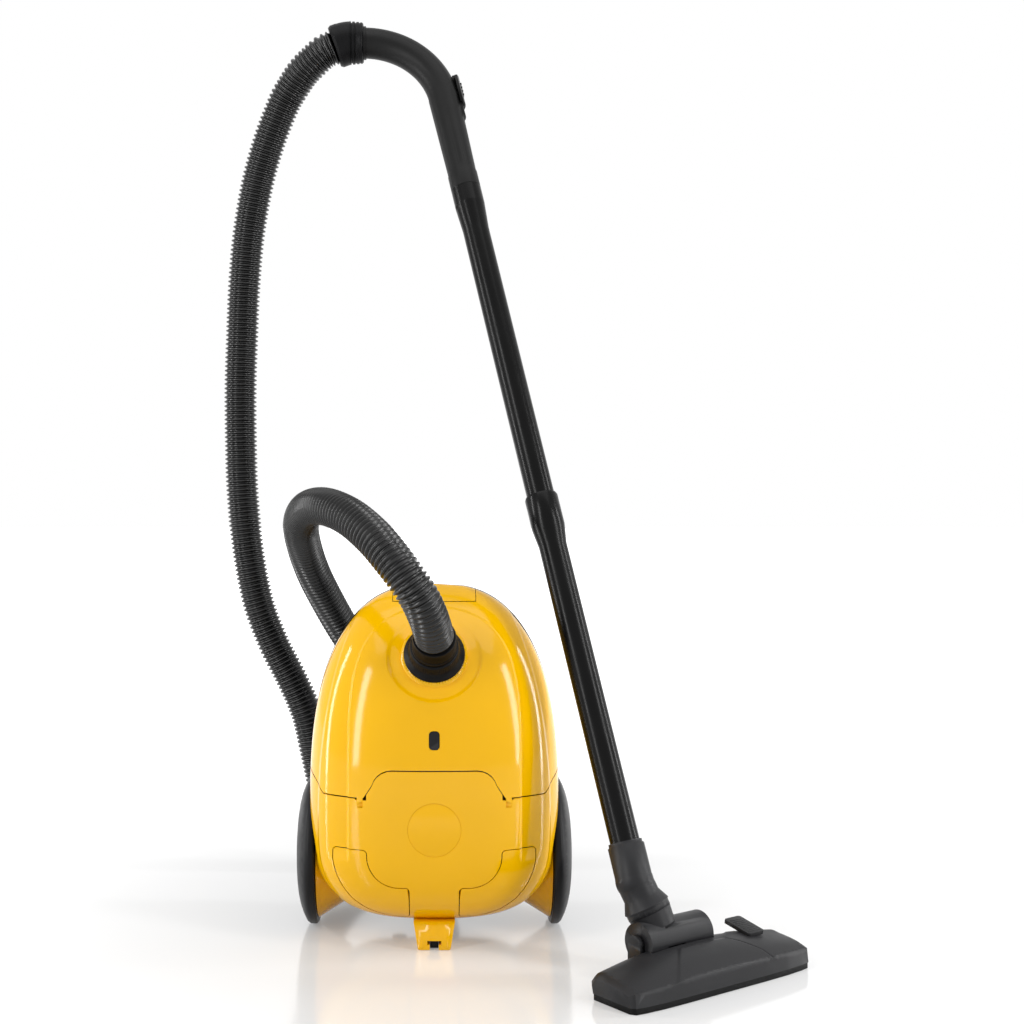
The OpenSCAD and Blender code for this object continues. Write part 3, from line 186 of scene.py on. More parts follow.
def soft_noise(scale, detail):
    """A noise through the piece, from nought to one."""
    node = handling.nodes.new("ShaderNodeTexNoise")
    for source, label in ((spot, "Vector"), (scale, "Scale"), (detail, "Detail")):
        feed(source, node.inputs[label])
    return node.outputs["Fac"]


def spread(source, low, high):
    """The middle of a noise's range, spread from low to high."""
    node = handling.nodes.new("ShaderNodeMapRange")
    for value, label in ((source, "Value"), (0.3, "From Min"), (0.7, "From Max"), (low, "To Min"),
                         (high, "To Max")):
        feed(value, node.inputs[label])
    return node.outputs["Result"]


tint = handling.nodes.new("ShaderNodeMix")
tint.data_type = "RGBA"
tint.blend_type = "MULTIPLY"
tint.inputs["Factor"].default_value = 1.0
feed(given["Colour"], tint.inputs["A"])
feed(spread(soft_noise(7.0, 3.0), given["Shade"], 1.0), tint.inputs["B"])
feed(tint.outputs["Result"], out["Colour"])
feed(spread(soft_noise(31.0, 5.0), given["Gloss Low"], given["Gloss High"]), out["Roughness"])
pits = handling.nodes.new("ShaderNodeBump")
pits.inputs["Strength"].default_value = 1.0
feed(given["Grain Depth"], pits.inputs["Distance"])
feed(soft_noise(given["Grain Size"], 2.0), pits.inputs["Height"])
feed(pits.outputs["Normal"], out["Normal"])


def plastic(name, colour, gloss, shade=0.92, grain_size=900.0, grain_depth=0.00001, **plain):
    """A moulded plastic, rubber or metal: the handling effect feeds its colour, gloss and grain."""
    material = bpy.data.materials.new(name)
    material.use_nodes = True
    tree = material.node_tree
    shader = tree.nodes["Principled BSDF"]
    effect = tree.nodes.new("ShaderNodeGroup")
    effect.node_tree = handling
    for label, value in (("Colour", colour), ("Shade", shade), ("Gloss Low", gloss[0]),
                         ("Gloss High", gloss[1]), ("Grain Size", grain_size), ("Grain Depth", grain_depth)):
        effect.inputs[label].default_value = value
    for source, target in (("Colour", "Base Color"), ("Roughness", "Roughness"), ("Normal", "Normal")):
        tree.links.new(effect.outputs[source], shader.inputs[target])
    for label, value in plain.items():
        shader.inputs[label.replace("_", " ")].default_value = value
    return material


def finished(name, bm, material, body, node=None, crease=35.0):
    """Makes a worked mesh a smooth-shaded piece that rides its body, and may stand for a CAD node."""
    mesh = bpy.data.meshes.new(name)
    bm.to_mesh(mesh)
    bm.free()
    mesh.shade_smooth()
    mesh.set_sharp_from_angle(angle=math.radians(crease))
    mesh.materials.append(material)
    piece = bpy.data.objects.new(name, mesh)
    scene.collection.objects.link(piece)
    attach(piece, body)
    if node:
        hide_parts(node)
    return piece


def settle(name, bm, material, node, crease=35.0):
    """Finishes a piece in the place of its CAD node."""
    return finished(name, bm, material, body_of[node], node, crease)


def worked_copy(node):
    """The CAD node's mesh with its loose triangles merged."""
    bm = bmesh.new()
    bm.from_mesh(frame["nodes"][node].data)
    bmesh.ops.remove_doubles(bm, verts=bm.verts, dist=0.004 * mm)
    return bm


def halve(bm, edges):
    """Cuts the given edges in two and keeps every face a triangle."""
    bmesh.ops.subdivide_edges(bm, edges=edges, cuts=1)
    bmesh.ops.triangulate(bm, faces=[f for f in bm.faces if len(f.verts) > 3])


def coordinates(verts):
    """The places of vertices, one to a row."""
    return np.array([tuple(v.co) for v in verts], float).reshape(-1, 3)


def eased(t):
    """A soft step from nought to one."""
    t = np.clip(t, 0, 1)
    return t * t * (3 - 2 * t)


body_w, body_h, body_front, body_back = 280 * mm, 390 * mm, 115 * mm, 95 * mm
widest_z, tail_z, part_gap = 145 * mm, 21.5 * mm, 0.4 * mm
inlet_at = np.array([0, -80 * mm, 317 * mm])
inlet_axis = Vector((0, -math.cos(math.radians(30)), math.sin(math.radians(30))))
front_power, back_power = 2.7, 5.0
# an edge is cut in two when it is this much longer than it should be
over_limit = 1.35
# the two folds of the front, in millimetres: each one's half width, its arch and their powers
inner_half, inner_power, inner_arch_z, inner_rise, inner_arch_power = 92, 2.2, 167, 199, 5
outer_half, outer_power, outer_widest_z = 126, 2.4, 140
outer_fall, outer_fall_power, outer_rise, outer_rise_power = 125, 3, 283, 1.976
band_depth, band_soft, band_fade, band_foot_z, band_foot_fade = 1.9, 2.4, 30, 96, 16
rim_depth, rim_soft, rim_fade = 1.1, 2.6, 16
dish_depth, dish_foot_r, dish_foot_soft, dish_fold_r, dish_rim_r, dish_rim_soft = 2.2, 35, 13, 50, 52.5, 5


def fold_inner(x, z):
    arch = np.clip((z - inner_arch_z) / inner_rise, 0, 3) ** inner_arch_power
    return (np.abs(x / inner_half) ** inner_power + arch) ** (1 / inner_power) - 1


def fold_outer(x, z):
    low = np.clip((outer_widest_z - z) / outer_fall, 0, 3) ** outer_fall_power
    high = np.clip((z - outer_widest_z) / outer_rise, 0, 3) ** outer_rise_power
    return (np.abs(x / outer_half) ** outer_power + low + high) ** (1 / outer_power) - 1


def away(fold, x, z):
    """Distance from a fold in millimetres, positive outside it."""
    step = 0.5
    across = (fold(x + step, z) - fold(x - step, z)) / 2
    upward = (fold(x, z + step) - fold(x, z - step)) / 2
    return fold(x, z) / np.maximum(np.hypot(across, upward) / step, 0.003)


def inlet_ring(p):
    """Distance from the inlet's axis in millimetres."""
    arm = p - inlet_at
    along = arm @ np.array(inlet_axis)
    return np.linalg.norm(arm - along[:, None] * np.array(inlet_axis), axis=1) / mm


def relief(p):
    """How far the front is pressed in, in millimetres, at the folds and in the inlet's dish."""
    x, y, z = p.T / mm
    inner, outer, ring = away(fold_inner, x, z), away(fold_outer, x, z), inlet_ring(p)
    band = band_depth * eased(inner / band_soft + 0.5) * (1 - 0.75 * eased(inner / band_fade))
    band *= eased((z - band_foot_z) / band_foot_fade)
    rim = rim_depth * eased(outer / rim_soft + 0.5) * (1 - eased(outer / rim_fade))
    low_side = 0.35 + 0.65 * eased((inlet_at[2] / mm + 14 - z) / 30)
    dish = dish_depth * eased((dish_rim_r - ring) / dish_rim_soft) * low_side
    dish *= eased((ring - dish_foot_r) / dish_foot_soft)
    return np.where(y < 0, band + rim + dish, 0)


def swell(t, power, root):
    """One at the egg's widest and nought at its end, and the powers set how full it is between."""
    return (1 - t ** power) ** (1 / root)


def skin_level(p, pressed):
    """Nought on the skin and positive outside it, near enough in metres."""
    x, y, z = p.T
    share = np.where(z < widest_z, (z - widest_z) / (widest_z - tail_z), (z - widest_z) / (body_h - widest_z))
    share = np.clip(share, -0.99999, 0.99999)
    down, up = np.clip(-share, 0, 1), np.clip(share, 0, 1)
    half = body_w / 2 * swell(down, 3, 3) * swell(up, 2.55, 2.55)
    front = body_front * swell(down, 4, 2.5) * swell(up, 2.6, 1.3)
    back = body_back * swell(down, 6, 3) * swell(up, 5, 2.2)
    ahead = y < 0
    power, depth = np.where(ahead, front_power, back_power), np.where(ahead, front, back)
    y = np.where(ahead, y + part_gap, y - part_gap)
    section = (np.abs(x / half) ** power + np.abs(y / depth) ** power) ** (1 / power)
    return 0.1 * (section - 1) + relief(p) * mm * pressed


def slope_of(p, pressed):
    """Which way, and how steeply, the skin level rises at each point."""
    step = 0.04 * mm
    cols = []
    for axis in range(3):
        shift = np.zeros(3)
        shift[axis] = step
        cols.append((skin_level(p + shift, pressed) - skin_level(p - shift, pressed)) / (2 * step))
    return np.stack(cols, 1)


def onto_skin(p, pressed):
    """Moves points to the skin along its slope, by small steps."""
    most = 1.5 * mm
    for _ in range(6):
        slope = slope_of(p, pressed)
        size = np.maximum(np.linalg.norm(slope, axis=1), 1e-6)
        step = skin_level(p, pressed) / size
        p = p - np.clip(step, -most, most)[:, None] * slope / size[:, None]
    return p


def on_skin(p, sunk):
    """Which points lie on the skin; sunk leaves out the recess that holds the tail's round cap."""
    depth = skin_level(p, 0) / np.maximum(np.linalg.norm(slope_of(p, 0), axis=1), 1e-6)
    mask = np.abs(depth) < 1.7 * mm
    if sunk:
        cap_z, cap_reach, cap_floor = 136 * mm, 28.7 * mm, -114.4 * mm
        mask &= ~((np.hypot(p[:, 0], p[:, 2] - cap_z) < cap_reach) & (p[:, 1] > cap_floor))
    return mask


def skin_normals(mesh, on, pressed):
    """Shades the skin's facets by the skin's own slope, so that they don't show."""
    normals, faces = np.zeros(len(mesh.loops) * 3), np.zeros(len(mesh.polygons) * 3)
    corner, totals = np.zeros(len(mesh.loops), int), np.zeros(len(mesh.polygons), int)
    mesh.corner_normals.foreach_get("vector", normals)
    mesh.loops.foreach_get("vertex_index", corner)
    mesh.polygons.foreach_get("normal", faces)
    mesh.polygons.foreach_get("loop_total", totals)
    normals = normals.reshape(-1, 3)
    facing = np.repeat(faces.reshape(-1, 3), totals, axis=0)
    skin_faces = np.repeat(np.array([all(on[v] for v in f.vertices) for f in mesh.polygons]), totals)
    slope = slope_of(coordinates(mesh.vertices), pressed)
    slope /= np.maximum(np.linalg.norm(slope, axis=1), 1e-9)[:, None]
    use = skin_faces & ((slope[corner] * facing).sum(1) > 0.6)
    normals[use] = slope[corner][use]
    mesh.normals_split_custom_set(normals.tolist())


def skin_piece(name, node, material, fine=4.5 * mm, pressed=1.0, sunk=False):
    """A copy of a shell whose outer facets are cut finer and drawn onto the smooth skin."""
    finest, fold_near, fold_far = 1.6 * mm, 3.5, 8
    bm = worked_copy(node)
    bmesh.ops.triangulate(bm, faces=bm.faces)
    for _ in range(7):
        bm.verts.ensure_lookup_table()
        bm.verts.index_update()
        p = coordinates(bm.verts)
        on = on_skin(p, sunk)
        edges = [e for e in bm.edges if on[e.verts[0].index] and on[e.verts[1].index]]
        ends = np.array([[e.verts[0].index, e.verts[1].index] for e in edges])
        middle = p[ends].mean(1)
        x, y, z = middle.T / mm
        folds = away(fold_inner, x, z), away(fold_outer, x, z), inlet_ring(middle) - dish_fold_r
        near = np.where((y < 0) & (pressed > 0), np.abs(folds).min(0), 2 * fold_far)
        limit = np.where(near < fold_near, finest, np.where(near < fold_far, (fine + finest) / 2, fine))
        size = np.linalg.norm(p[ends[:, 0]] - p[ends[:, 1]], axis=1)
        long = [e for e, much in zip(edges, size > over_limit * limit) if much]
        if not long:
            break
        halve(bm, long)
    p = coordinates(bm.verts)
    on = on_skin(p, sunk)
    for vert, spot in zip([v for v, drawn in zip(bm.verts, on) if drawn], onto_skin(p[on], pressed)):
        vert.co = spot
    piece = settle(name, bm, material, node, crease=30.0)
    skin_normals(piece.data, on, pressed)


base_black = plastic("base_black", (0.005, 0.005, 0.005, 1), (0.38, 0.5), shade=0.85, grain_size=600.0,
                     grain_depth=0.00004, Specular_IOR_Level=0.15)
skin_piece("underside_shell", "base_shell", base_black, fine=7 * mm, pressed=0.0)

# ---------- inside the canister ----------
# Frames, housings and the reel in matte grey plastic, rubber seals, steel pins and screws, and the
# filters. They drop into the base shell, and show only while the lid is up.
inner_grey = plastic("inner_grey", (0.06, 0.06, 0.065, 1), (0.45, 0.55), shade=0.9, grain_depth=0.00003,
                     Specular_IOR_Level=0.3)
seal_rubber = plastic("seal_rubber", (0.010, 0.010, 0.010, 1), (0.6, 0.75), shade=0.85, grain_depth=0.00002)
steel = plastic("steel", (0.62, 0.63, 0.65, 1), (0.22, 0.34), shade=0.9, grain_depth=0.000004, Metallic=1.0)
foam = plastic("filter_foam", (0.05, 0.055, 0.065, 1), (0.85, 0.95), shade=0.7, grain_size=900.0,
               grain_depth=0.0006)
fleece = plastic("filter_fleece", (0.75, 0.77, 0.8, 1), (0.8, 0.95), shade=0.85, grain_size=700.0,
                 grain_depth=0.0002)
paper = plastic("bag_paper", (0.60, 0.52, 0.38, 1), (0.75, 0.9), shade=0.8, grain_size=260.0,
                grain_depth=0.00012, Specular_IOR_Level=0.2)


def dress(material, *nodes):
    """Gives a material to CAD pieces that are shown as they are."""
    for node in nodes:
        for place in frame["nodes"][node].material_slots:
            place.material = material


dress(inner_grey, "bag_holder", "bulkhead", "filter_frame", "motor_housing", "motor_mount", "motor_cover",
      "cord_reel", "reel_spindle", "power_switch")
dress(seal_rubber, "lid_seal", "motor_seal")
dress(steel, "lid_hinge_pins", "latch_spring", "cover_screws", "motor_rotor")
dress(foam, "motor_filter")
dress(fleece, "exhaust_filter")
dress(paper, "bag_plate")

# ---------- springs ----------
# Music-wire compression springs behind the two foot pedals and above the bag flag.
# Each runs from the casing to its pedal or flag, unhooked from every body and left where it is drawn.


def ringed_tube(line, radii, sides, first, last):
    """A round tube from a grid that is wrapped round the line, with closed ends."""
    bm = bmesh.new()
    count = len(line)
    bmesh.ops.create_grid(bm, x_segments=sides, y_segments=count - 1, size=1.0)
    tangents = [(line[min(i + 1, count - 1)] - line[max(i - 1, 0)]).normalized() for i in range(count)]
    tangents[0], tangents[-1] = Vector(first).normalized(), Vector(last).normalized()
    across = [tangents[0].orthogonal().normalized()]
    for tangent in tangents[1:]:
        across.append((across[-1] - tangent * across[-1].dot(tangent)).normalized())
    for vert in bm.verts:
        turn = 2 * math.pi * (vert.co.x + 1) / 2
        i = round((vert.co.y + 1) / 2 * (count - 1))
        up = tangents[i].cross(across[i])
        vert.co = line[i] + radii[i] * (math.cos(turn) * across[i] + math.sin(turn) * up)
    bmesh.ops.remove_doubles(bm, verts=bm.verts, dist=0.02 * mm)
    bmesh.ops.holes_fill(bm, edges=[e for e in bm.edges if e.is_boundary], sides=0)
    bmesh.ops.recalc_face_normals(bm, faces=bm.faces)
    return bm


def coil(low, high):
    """A wire helix along Y that fills the box between two corners."""
    wire, turns, stops = 0.9 * mm, 6, 24
    middle, radius = (low + high) / 2, (high.x - low.x) / 2 - wire
    line = []
    for k in range(stops * turns + 1):
        turn, share = 2 * math.pi * k / stops, k / (stops * turns)
        line.append(Vector((middle.x + radius * math.cos(turn),
                            low.y + wire + (high.y - low.y - 2 * wire) * share,
                            middle.z + radius * math.sin(turn))))
    return ringed_tube(line, [wire] * len(line), 10, line[1] - line[0], line[-1] - line[-2])


for name, node, mover, axis in (("power_spring_coil", "power_pedal_spring", "power_pedal", 1),
                                ("rewind_spring_coil", "rewind_pedal_spring", "rewind_pedal", 1),
                                ("flag_spring_coil", "indicator_spring", "indicator", 2)):
    low, high = (Vector(corner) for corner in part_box(node))
    spring = settle(name, coil(low, high) if axis == 1 else worked_copy(node), steel, node)
    spring.parent = None
    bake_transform(spring)

# ---------- dust bag ----------
# A soft two-ply paper bag, glued to its card plate and a little slack, so its faces are crumpled.
# It hangs from the plate, which slides into the bag holder.
bag_middle, bag_edge, mouth_reach, mouth_fade = Vector((0, 0, 262 * mm)), 6.5 * mm, 62 * mm, 30 * mm
slack, crumple, broad_folds, fine_folds = 1.6 * mm, 1.9 * mm, 38, 95
bm = worked_copy("dust_bag")
bmesh.ops.triangulate(bm, faces=bm.faces)
for _ in range(5):
    long = [e for e in bm.edges if e.calc_length() > bag_edge]
    if not long:
        break
    halve(bm, long)
for vert in bm.verts:
    free = float(eased(((vert.co - Vector(inlet_at)).length - mouth_reach) / mouth_fade))
    folds = 1 - abs(noise.noise(vert.co * broad_folds)) * 2.2 + 0.5 * noise.noise(vert.co * fine_folds)
    vert.co -= (vert.co - bag_middle).normalized() * free * (slack + crumple * folds)
settle("paper_bag", bm, paper, "dust_bag", crease=50.0)

# ---------- yellow shells ----------
# The lid, the rear housing, the foot pedals and the latch tab are one smooth yellow form, moulded
# in glossy ABS and cut by thin seams. Two soft folds run down each side of the front, and a
# shallow dish is pressed in round the hose inlet.
yellow = plastic("yellow_gloss", (0.93, 0.495, 0.0, 1), (0.08, 0.13), shade=0.97, grain_size=700.0,
                 grain_depth=0.000002, Specular_IOR_Level=0.28)
skin_piece("lid_shell", "lid", yellow)
skin_piece("rear_shell", "rear_housing", yellow, sunk=True)
skin_piece("latch_cover", "latch_tab", yellow)
skin_piece("power_foot_pedal", "power_pedal", yellow)
skin_piece("rewind_foot_pedal", "rewind_pedal", yellow)

# ---------- hinge tongues ----------
# A yellow tongue of the lid's moulding reaches down over each hinge pin and closes its slot.
# Its lower half is set back, so that it turns past the slot's lip as the lid opens.
tongue_x, tongue_w, tongue_low, tongue_high = 79 * mm, 6.2 * mm, 158.4 * mm, 168.6 * mm
tongue_t, tongue_sunk = 1.5 * mm, 0.1 * mm
lip_heights, lip_depths = (-1.6, 0, 1.64, 8.64), (-3.4, -3.75, -3.4, -8.3)
pin_low, pin_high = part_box("lid_hinge_pins")
pin_y, pin_z = (pin_low[1] + pin_high[1]) / 2, (pin_low[2] + pin_high[2]) / 2
bm = bmesh.new()
for side in (-1, 1):
    cells = bmesh.ops.create_grid(bm, x_segments=6, y_segments=14, size=0.5)["verts"]
    flat = coordinates(cells)
    x = side * tongue_x + flat[:, 0] * tongue_w
    z = (tongue_low + tongue_high) / 2 + flat[:, 1] * (tongue_high - tongue_low)
    outside, inside = np.full(len(x), -140 * mm), np.full(len(x), -40 * mm)
    for _ in range(24):
        y = (outside + inside) / 2
        proud = skin_level(np.stack([x, y, z], 1), 1) > 0
        outside, inside = np.where(proud, y, outside), np.where(proud, inside, y)
    set_back = pin_y + np.interp((z - pin_z) / mm, lip_heights, lip_depths) * mm
    for vert, spot in zip(cells, np.stack([x, np.maximum(inside + tongue_sunk, set_back), z], 1)):
        vert.co = spot
grown = bmesh.ops.extrude_face_region(bm, geom=list(bm.faces))["geom"]
bmesh.ops.translate(bm, verts=[v for v in grown if isinstance(v, bmesh.types.BMVert)], vec=(0, tongue_t, 0))
bmesh.ops.recalc_face_normals(bm, faces=bm.faces)
finished("hinge_tongues", bm, yellow, "lid", crease=40.0)

# ---------- canister fittings ----------
# Small mouldings that snap into the shells: the inlet's black collar, the smoked window with its
# red flag, the tail's round cap, the exhaust grille and the cord's outlet.
collar_black = plastic("collar_black", (0.004, 0.004, 0.0045, 1), (0.34, 0.44), shade=0.85, grain_size=500.0,
                       grain_depth=0.00002, Specular_IOR_Level=0.1)
sole_black = plastic("sole_black", (0.003, 0.003, 0.003, 1), (0.45, 0.55), shade=0.85,
                     Specular_IOR_Level=0.12)
smoke = plastic("smoked_window", (0.002, 0.002, 0.004, 1), (0.06, 0.1), shade=0.95, grain_depth=0.0,
                Specular_IOR_Level=0.3)
flag_red = plastic("flag_red", (0.55, 0.012, 0.008, 1), (0.3, 0.4))


def plain_copy(node):
    """A merged copy with its flat facets joined."""
    bm = worked_copy(node)
    bmesh.ops.dissolve_limit(bm, angle_limit=math.radians(0.6), verts=bm.verts, edges=bm.edges)
    return bm


def sharp_edges(bm):
    """The edges at which two faces meet at more than forty degrees."""
    return [e for e in bm.edges if len(e.link_faces) == 2 and e.is_manifold
            and e.calc_face_angle(0) > math.radians(40)]


def round_off(bm, edges, width, segments=2):
    """Rounds edges as a mould leaves them."""
    bmesh.ops.bevel(bm, geom=edges, offset=width, offset_type="OFFSET", segments=segments, profile=0.5,
                    affect="EDGES", clamp_overlap=True, material=-1)


def fitting(name, node, material, edge=0.0):
    """A rigid piece as its CAD node has it, with its sharp edges rounded by the given width."""
    bm = plain_copy(node)
    if edge:
        round_off(bm, sharp_edges(bm), edge)
    settle(name, bm, material, node, crease=32.0)


fitting("inlet_collar", "inlet_connector", collar_black, 0.5 * mm)
fitting("window_pane", "indicator_window", smoke, 0.3 * mm)
fitting("bag_flag", "indicator_flag", flag_red, 0.3 * mm)
fitting("tail_cap", "blank_cap", yellow, 0.2 * mm)
fitting("grille", "exhaust_grille", sole_black, 0.3 * mm)
fitting("outlet_ring", "cord_outlet", inner_grey, 0.3 * mm)

# ---------- parking heel ----------
# The black underside shell reaches into the slot of the yellow parking heel, where the wand's
# hook hangs when the cleaner is stored.


def block(bm, size, place):
    """Adds a block, with its size and its middle in millimetres."""
    verts = bmesh.ops.create_cube(bm, size=1.0)["verts"]
    bmesh.ops.scale(bm, verts=verts, vec=[v * mm for v in size])
    bmesh.ops.translate(bm, verts=verts, vec=[v * mm for v in place])


heel_size, heel_middle, heel_edge = (9.2, 44, 8.4), (0, -54.6, 4.8), 0.6 * mm
bm = bmesh.new()
block(bm, heel_size, heel_middle)
round_off(bm, list(bm.edges), heel_edge)
finished("heel_tongue", bm, base_black, "canister")

# ---------- wheels and caster ----------
# Two domed dark wheels clip onto steel axles in yellow pods at the sides, and a small caster
# with its fork and pin carries the nose.
wheel_grey = plastic("wheel_grey", (0.007, 0.007, 0.008, 1), (0.34, 0.44), shade=0.85, grain_size=450.0,
                     grain_depth=0.00003, Specular_IOR_Level=0.16)
for side in ("left", "right"):
    fitting(side + "_pod", side + "_wheel_pod", yellow)
    fitting(side + "_wheel_disc", side + "_wheel", wheel_grey)
fitting("axles", "wheel_axles", steel, 0.5 * mm)
fitting("caster_bracket", "caster_fork", inner_grey, 0.4 * mm)
fitting("caster_roller", "caster_wheel", wheel_grey, 0.8 * mm)
fitting("caster_pin", "caster_axle", steel, 0.3 * mm)

# ---------- hose ----------
# One corrugated suction hose in black soft plastic, blow-moulded in rings a few millimetres apart.
# It is glued into a cuff at each end. The length on the lid is unhooked from its body and stays where it is
# drawn.
hose_plastic = plastic("hose_plastic", (0.0015, 0.0015, 0.0015, 1), (0.22, 0.32), shade=0.8, grain_size=500.0,
                       grain_depth=0.000003, Specular_IOR_Level=0.4)
fitting("lower_cuff_piece", "hose_cuff_lower", collar_black)
fitting("top_cuff", "hose_cuff_top", collar_black)
hose_d, hose_sides, ring_pitch = 42 * mm, 28, 5.7 * mm
# one ring from valley to valley: the share of the pitch, and the drop below the crest
ring_shape = ((0.0, -3.4 * mm), (0.18, -2.4 * mm), (0.34, -0.4 * mm), (0.5, 0.0), (0.66, -0.4 * mm),
              (0.82, -2.4 * mm))
front_route = [
    (0, -.120, .340), (-.003, -.140, .353), (-.008, -.154, .368), (-.016, -.163, .385),
    (-.028, -.165, .403), (-.044, -.157, .424), (-.064, -.138, .446), (-.090, -.105, .466),
    (-.119, -.060, .477), (-.142, -.008, .474), (-.155, .045, .458), (-.156, .092, .432),
    (-.148, .132, .397), (-.133, .166, .360), (-.112, .196, .318), (-.084, .224, .272),
    (-.050, .248, .226), (-.014, .262, .180), (.011, .266, .132), (.016, .266, .105)]
rear_route = [
    (.016, .266, .105), (.008, .266, .067), (-.020, .266, .036), (-.060, .266, .022), (-.100, .264, .036),
    (-.130, .262, .068), (-.145, .260, .112), (-.156, .258, .160), (-.167, .256, .207),
    (-.186, .254, .252), (-.210, .252, .300), (-.230, .251, .354), (-.243, .250, .422),
    (-.250, .249, .495), (-.252, .247, .565), (-.252, .244, .635), (-.249, .238, .705),
    (-.245, .230, .770), (-.238, .220, .830), (-.226, .208, .888), (-.210, .195, .938),
    (-.190, .182, .983), (-.177, .174, 1.003), (-.164, .166, 1.019), (-.150, .160, 1.031),
    (-.137, .156, 1.041), (-.124, .155, 1.047)]


def smooth_line(points, steps=10):
    """A Catmull-Rom line through the points."""
    p = [Vector(q) for q in points]
    line = []
    for i in range(len(p) - 1):
        a, b, c, d = p[max(i - 1, 0)], p[i], p[i + 1], p[min(i + 2, len(p) - 1)]
        for k in range(steps):
            t = k / steps
            line.append(0.5 * (2 * b + (c - a) * t + (2 * a - 5 * b + 4 * c - d) * t * t
                               + (3 * b - a - 3 * c + d) * t ** 3))
    return line + [p[-1]]


def points_along(line, stops):
    """Points at the given distances along a line."""
    reach = np.concatenate([[0], np.cumsum([(b - a).length for a, b in zip(line, line[1:])])])
    return [Vector(q) for q in np.stack([np.interp(stops, reach, axis) for axis in zip(*line)], 1)]


def corrugated(name, route, first, last, node):
    """A ringed hose along the route, with whole rings, so that two lengths meet in a valley."""
    line = smooth_line(route)
    length = sum((b - a).length for a, b in zip(line, line[1:]))
    rings = round(length / ring_pitch)
    pitch = length / rings
    stops = [(k + share) * pitch for k in range(rings) for share, _ in ring_shape] + [length]
    radii = [hose_d / 2 + drop for _ in range(rings) for _, drop in ring_shape]
    radii.append(hose_d / 2 + ring_shape[0][1])
    bm = ringed_tube(points_along(line, stops), radii, hose_sides, first, last)
    hose = settle(name, bm, hose_plastic, node, crease=180.0)
    return hose


top_cuff_turn = math.radians(20)
top_cuff_way = (math.cos(top_cuff_turn), 0, math.sin(top_cuff_turn))
front_hose = corrugated("front_hose", front_route, inlet_axis, (0, 0, -1), "hose_front")
corrugated("rear_hose", rear_route, (0, 0, -1), top_cuff_way, "hose_rear")
front_hose.parent = None
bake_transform(front_hose)

# ---------- handle and wand ----------
# The bent handle is moulded in satin black and carries the sliding air valve. The two wand tubes
# are drawn in glossier black, pushed together, and end in the floor head's grey neck.
handle_black = plastic("handle_black", (0.007, 0.007, 0.007, 1), (0.36, 0.46), shade=0.85, grain_size=600.0,
                       grain_depth=0.00002, Specular_IOR_Level=0.14)
tube_black = plastic("tube_black", (0.002, 0.002, 0.002, 1), (0.2, 0.28), shade=0.85, grain_depth=0.000004,
                     Specular_IOR_Level=0.13)
head_grey = plastic("head_grey", (0.017, 0.017, 0.0185, 1), (0.38, 0.48), shade=0.9, grain_size=420.0,
                    grain_depth=0.00003, Specular_IOR_Level=0.2)
fitting("handle_grip", "handle", handle_black)
fitting("slider_saddle", "air_slider", tube_black, 0.5 * mm)
fitting("upper_tube", "wand_upper", tube_black)
fitting("lower_tube", "wand_lower", tube_black)
fitting("neck", "neck_elbow", head_grey)

# ---------- tilt joint ----------
# The barrel on which the wand tips fore and aft, moulded in the head's grey plastic.
# A cone fairs it into the neck's ring, and its ends turn in the cover's two ears.
head_at = Vector((267 * mm, -184 * mm, 0))
head_turn = math.radians(35.5)
head_frame = Matrix.Translation(head_at) @ Matrix.Rotation(head_turn, 4, "Z")
# the neck bends at the knee and runs on along the axis that the floor head swivels about
knee = head_frame @ (Vector((-38.61, 54.16, 94.82)) * mm)
joints = {joint["name"]: joint for joint in frame["record"]["behaviour"]["joints"]}
foot_way = Vector(joints["neck_swivel"]["axis"])
cone_reach = 41.8 * mm


def join_in(bm, extra):
    """Adds one worked mesh to another."""
    carrier = bpy.data.meshes.new("carrier")
    extra.to_mesh(carrier)
    extra.free()
    bm.from_mesh(carrier)
    bpy.data.meshes.remove(carrier)


fairing = bmesh.new()
bmesh.ops.create_cone(fairing, cap_ends=True, segments=72, radius1=22.8 * mm, radius2=20.4 * mm,
                      depth=17 * mm)
bmesh.ops.transform(fairing, verts=fairing.verts, matrix=Matrix.Translation(knee + cone_reach * foot_way)
                    @ foot_way.to_track_quat("Z", "Y").to_matrix().to_4x4())
bm = worked_copy("tilt_barrel")
join_in(bm, fairing)
settle("barrel", bm, head_grey, "tilt_barrel", crease=32.0)

# ---------- floor head ----------
# The cover is moulded in dull grey plastic, with a raised panel between a slanting shoulder on the
# left and a joint line on the right, and a crisp brow in front. The sole plate under it carries
# two small wheels.
head_len, head_depth, strip_h, crown_h = 250, 80, 21, 37
crown_drop, brow_drop, brow_share = 0.32, 2, 0.62
shoulder_at, shoulder_way = (-74, -40), (0.691, -0.723)
joint_ys, joint_xs = (-43, -27, -7, 6), (67, 62, 46, 30)
panel_rise, panel_soft, panel_middle, groove_depth, groove_half = 1.2, 4.5, 2.2, 1.0, 0.75
top_reach, top_end, top_back, wall_end, wall_foot, wall_reach = 1.4, 122, 38, 120, 5.9, 2.4
fine_edge, coarse_edge, most_lift = 1.2, 5.0, 1.2
to_head = head_frame.inverted()


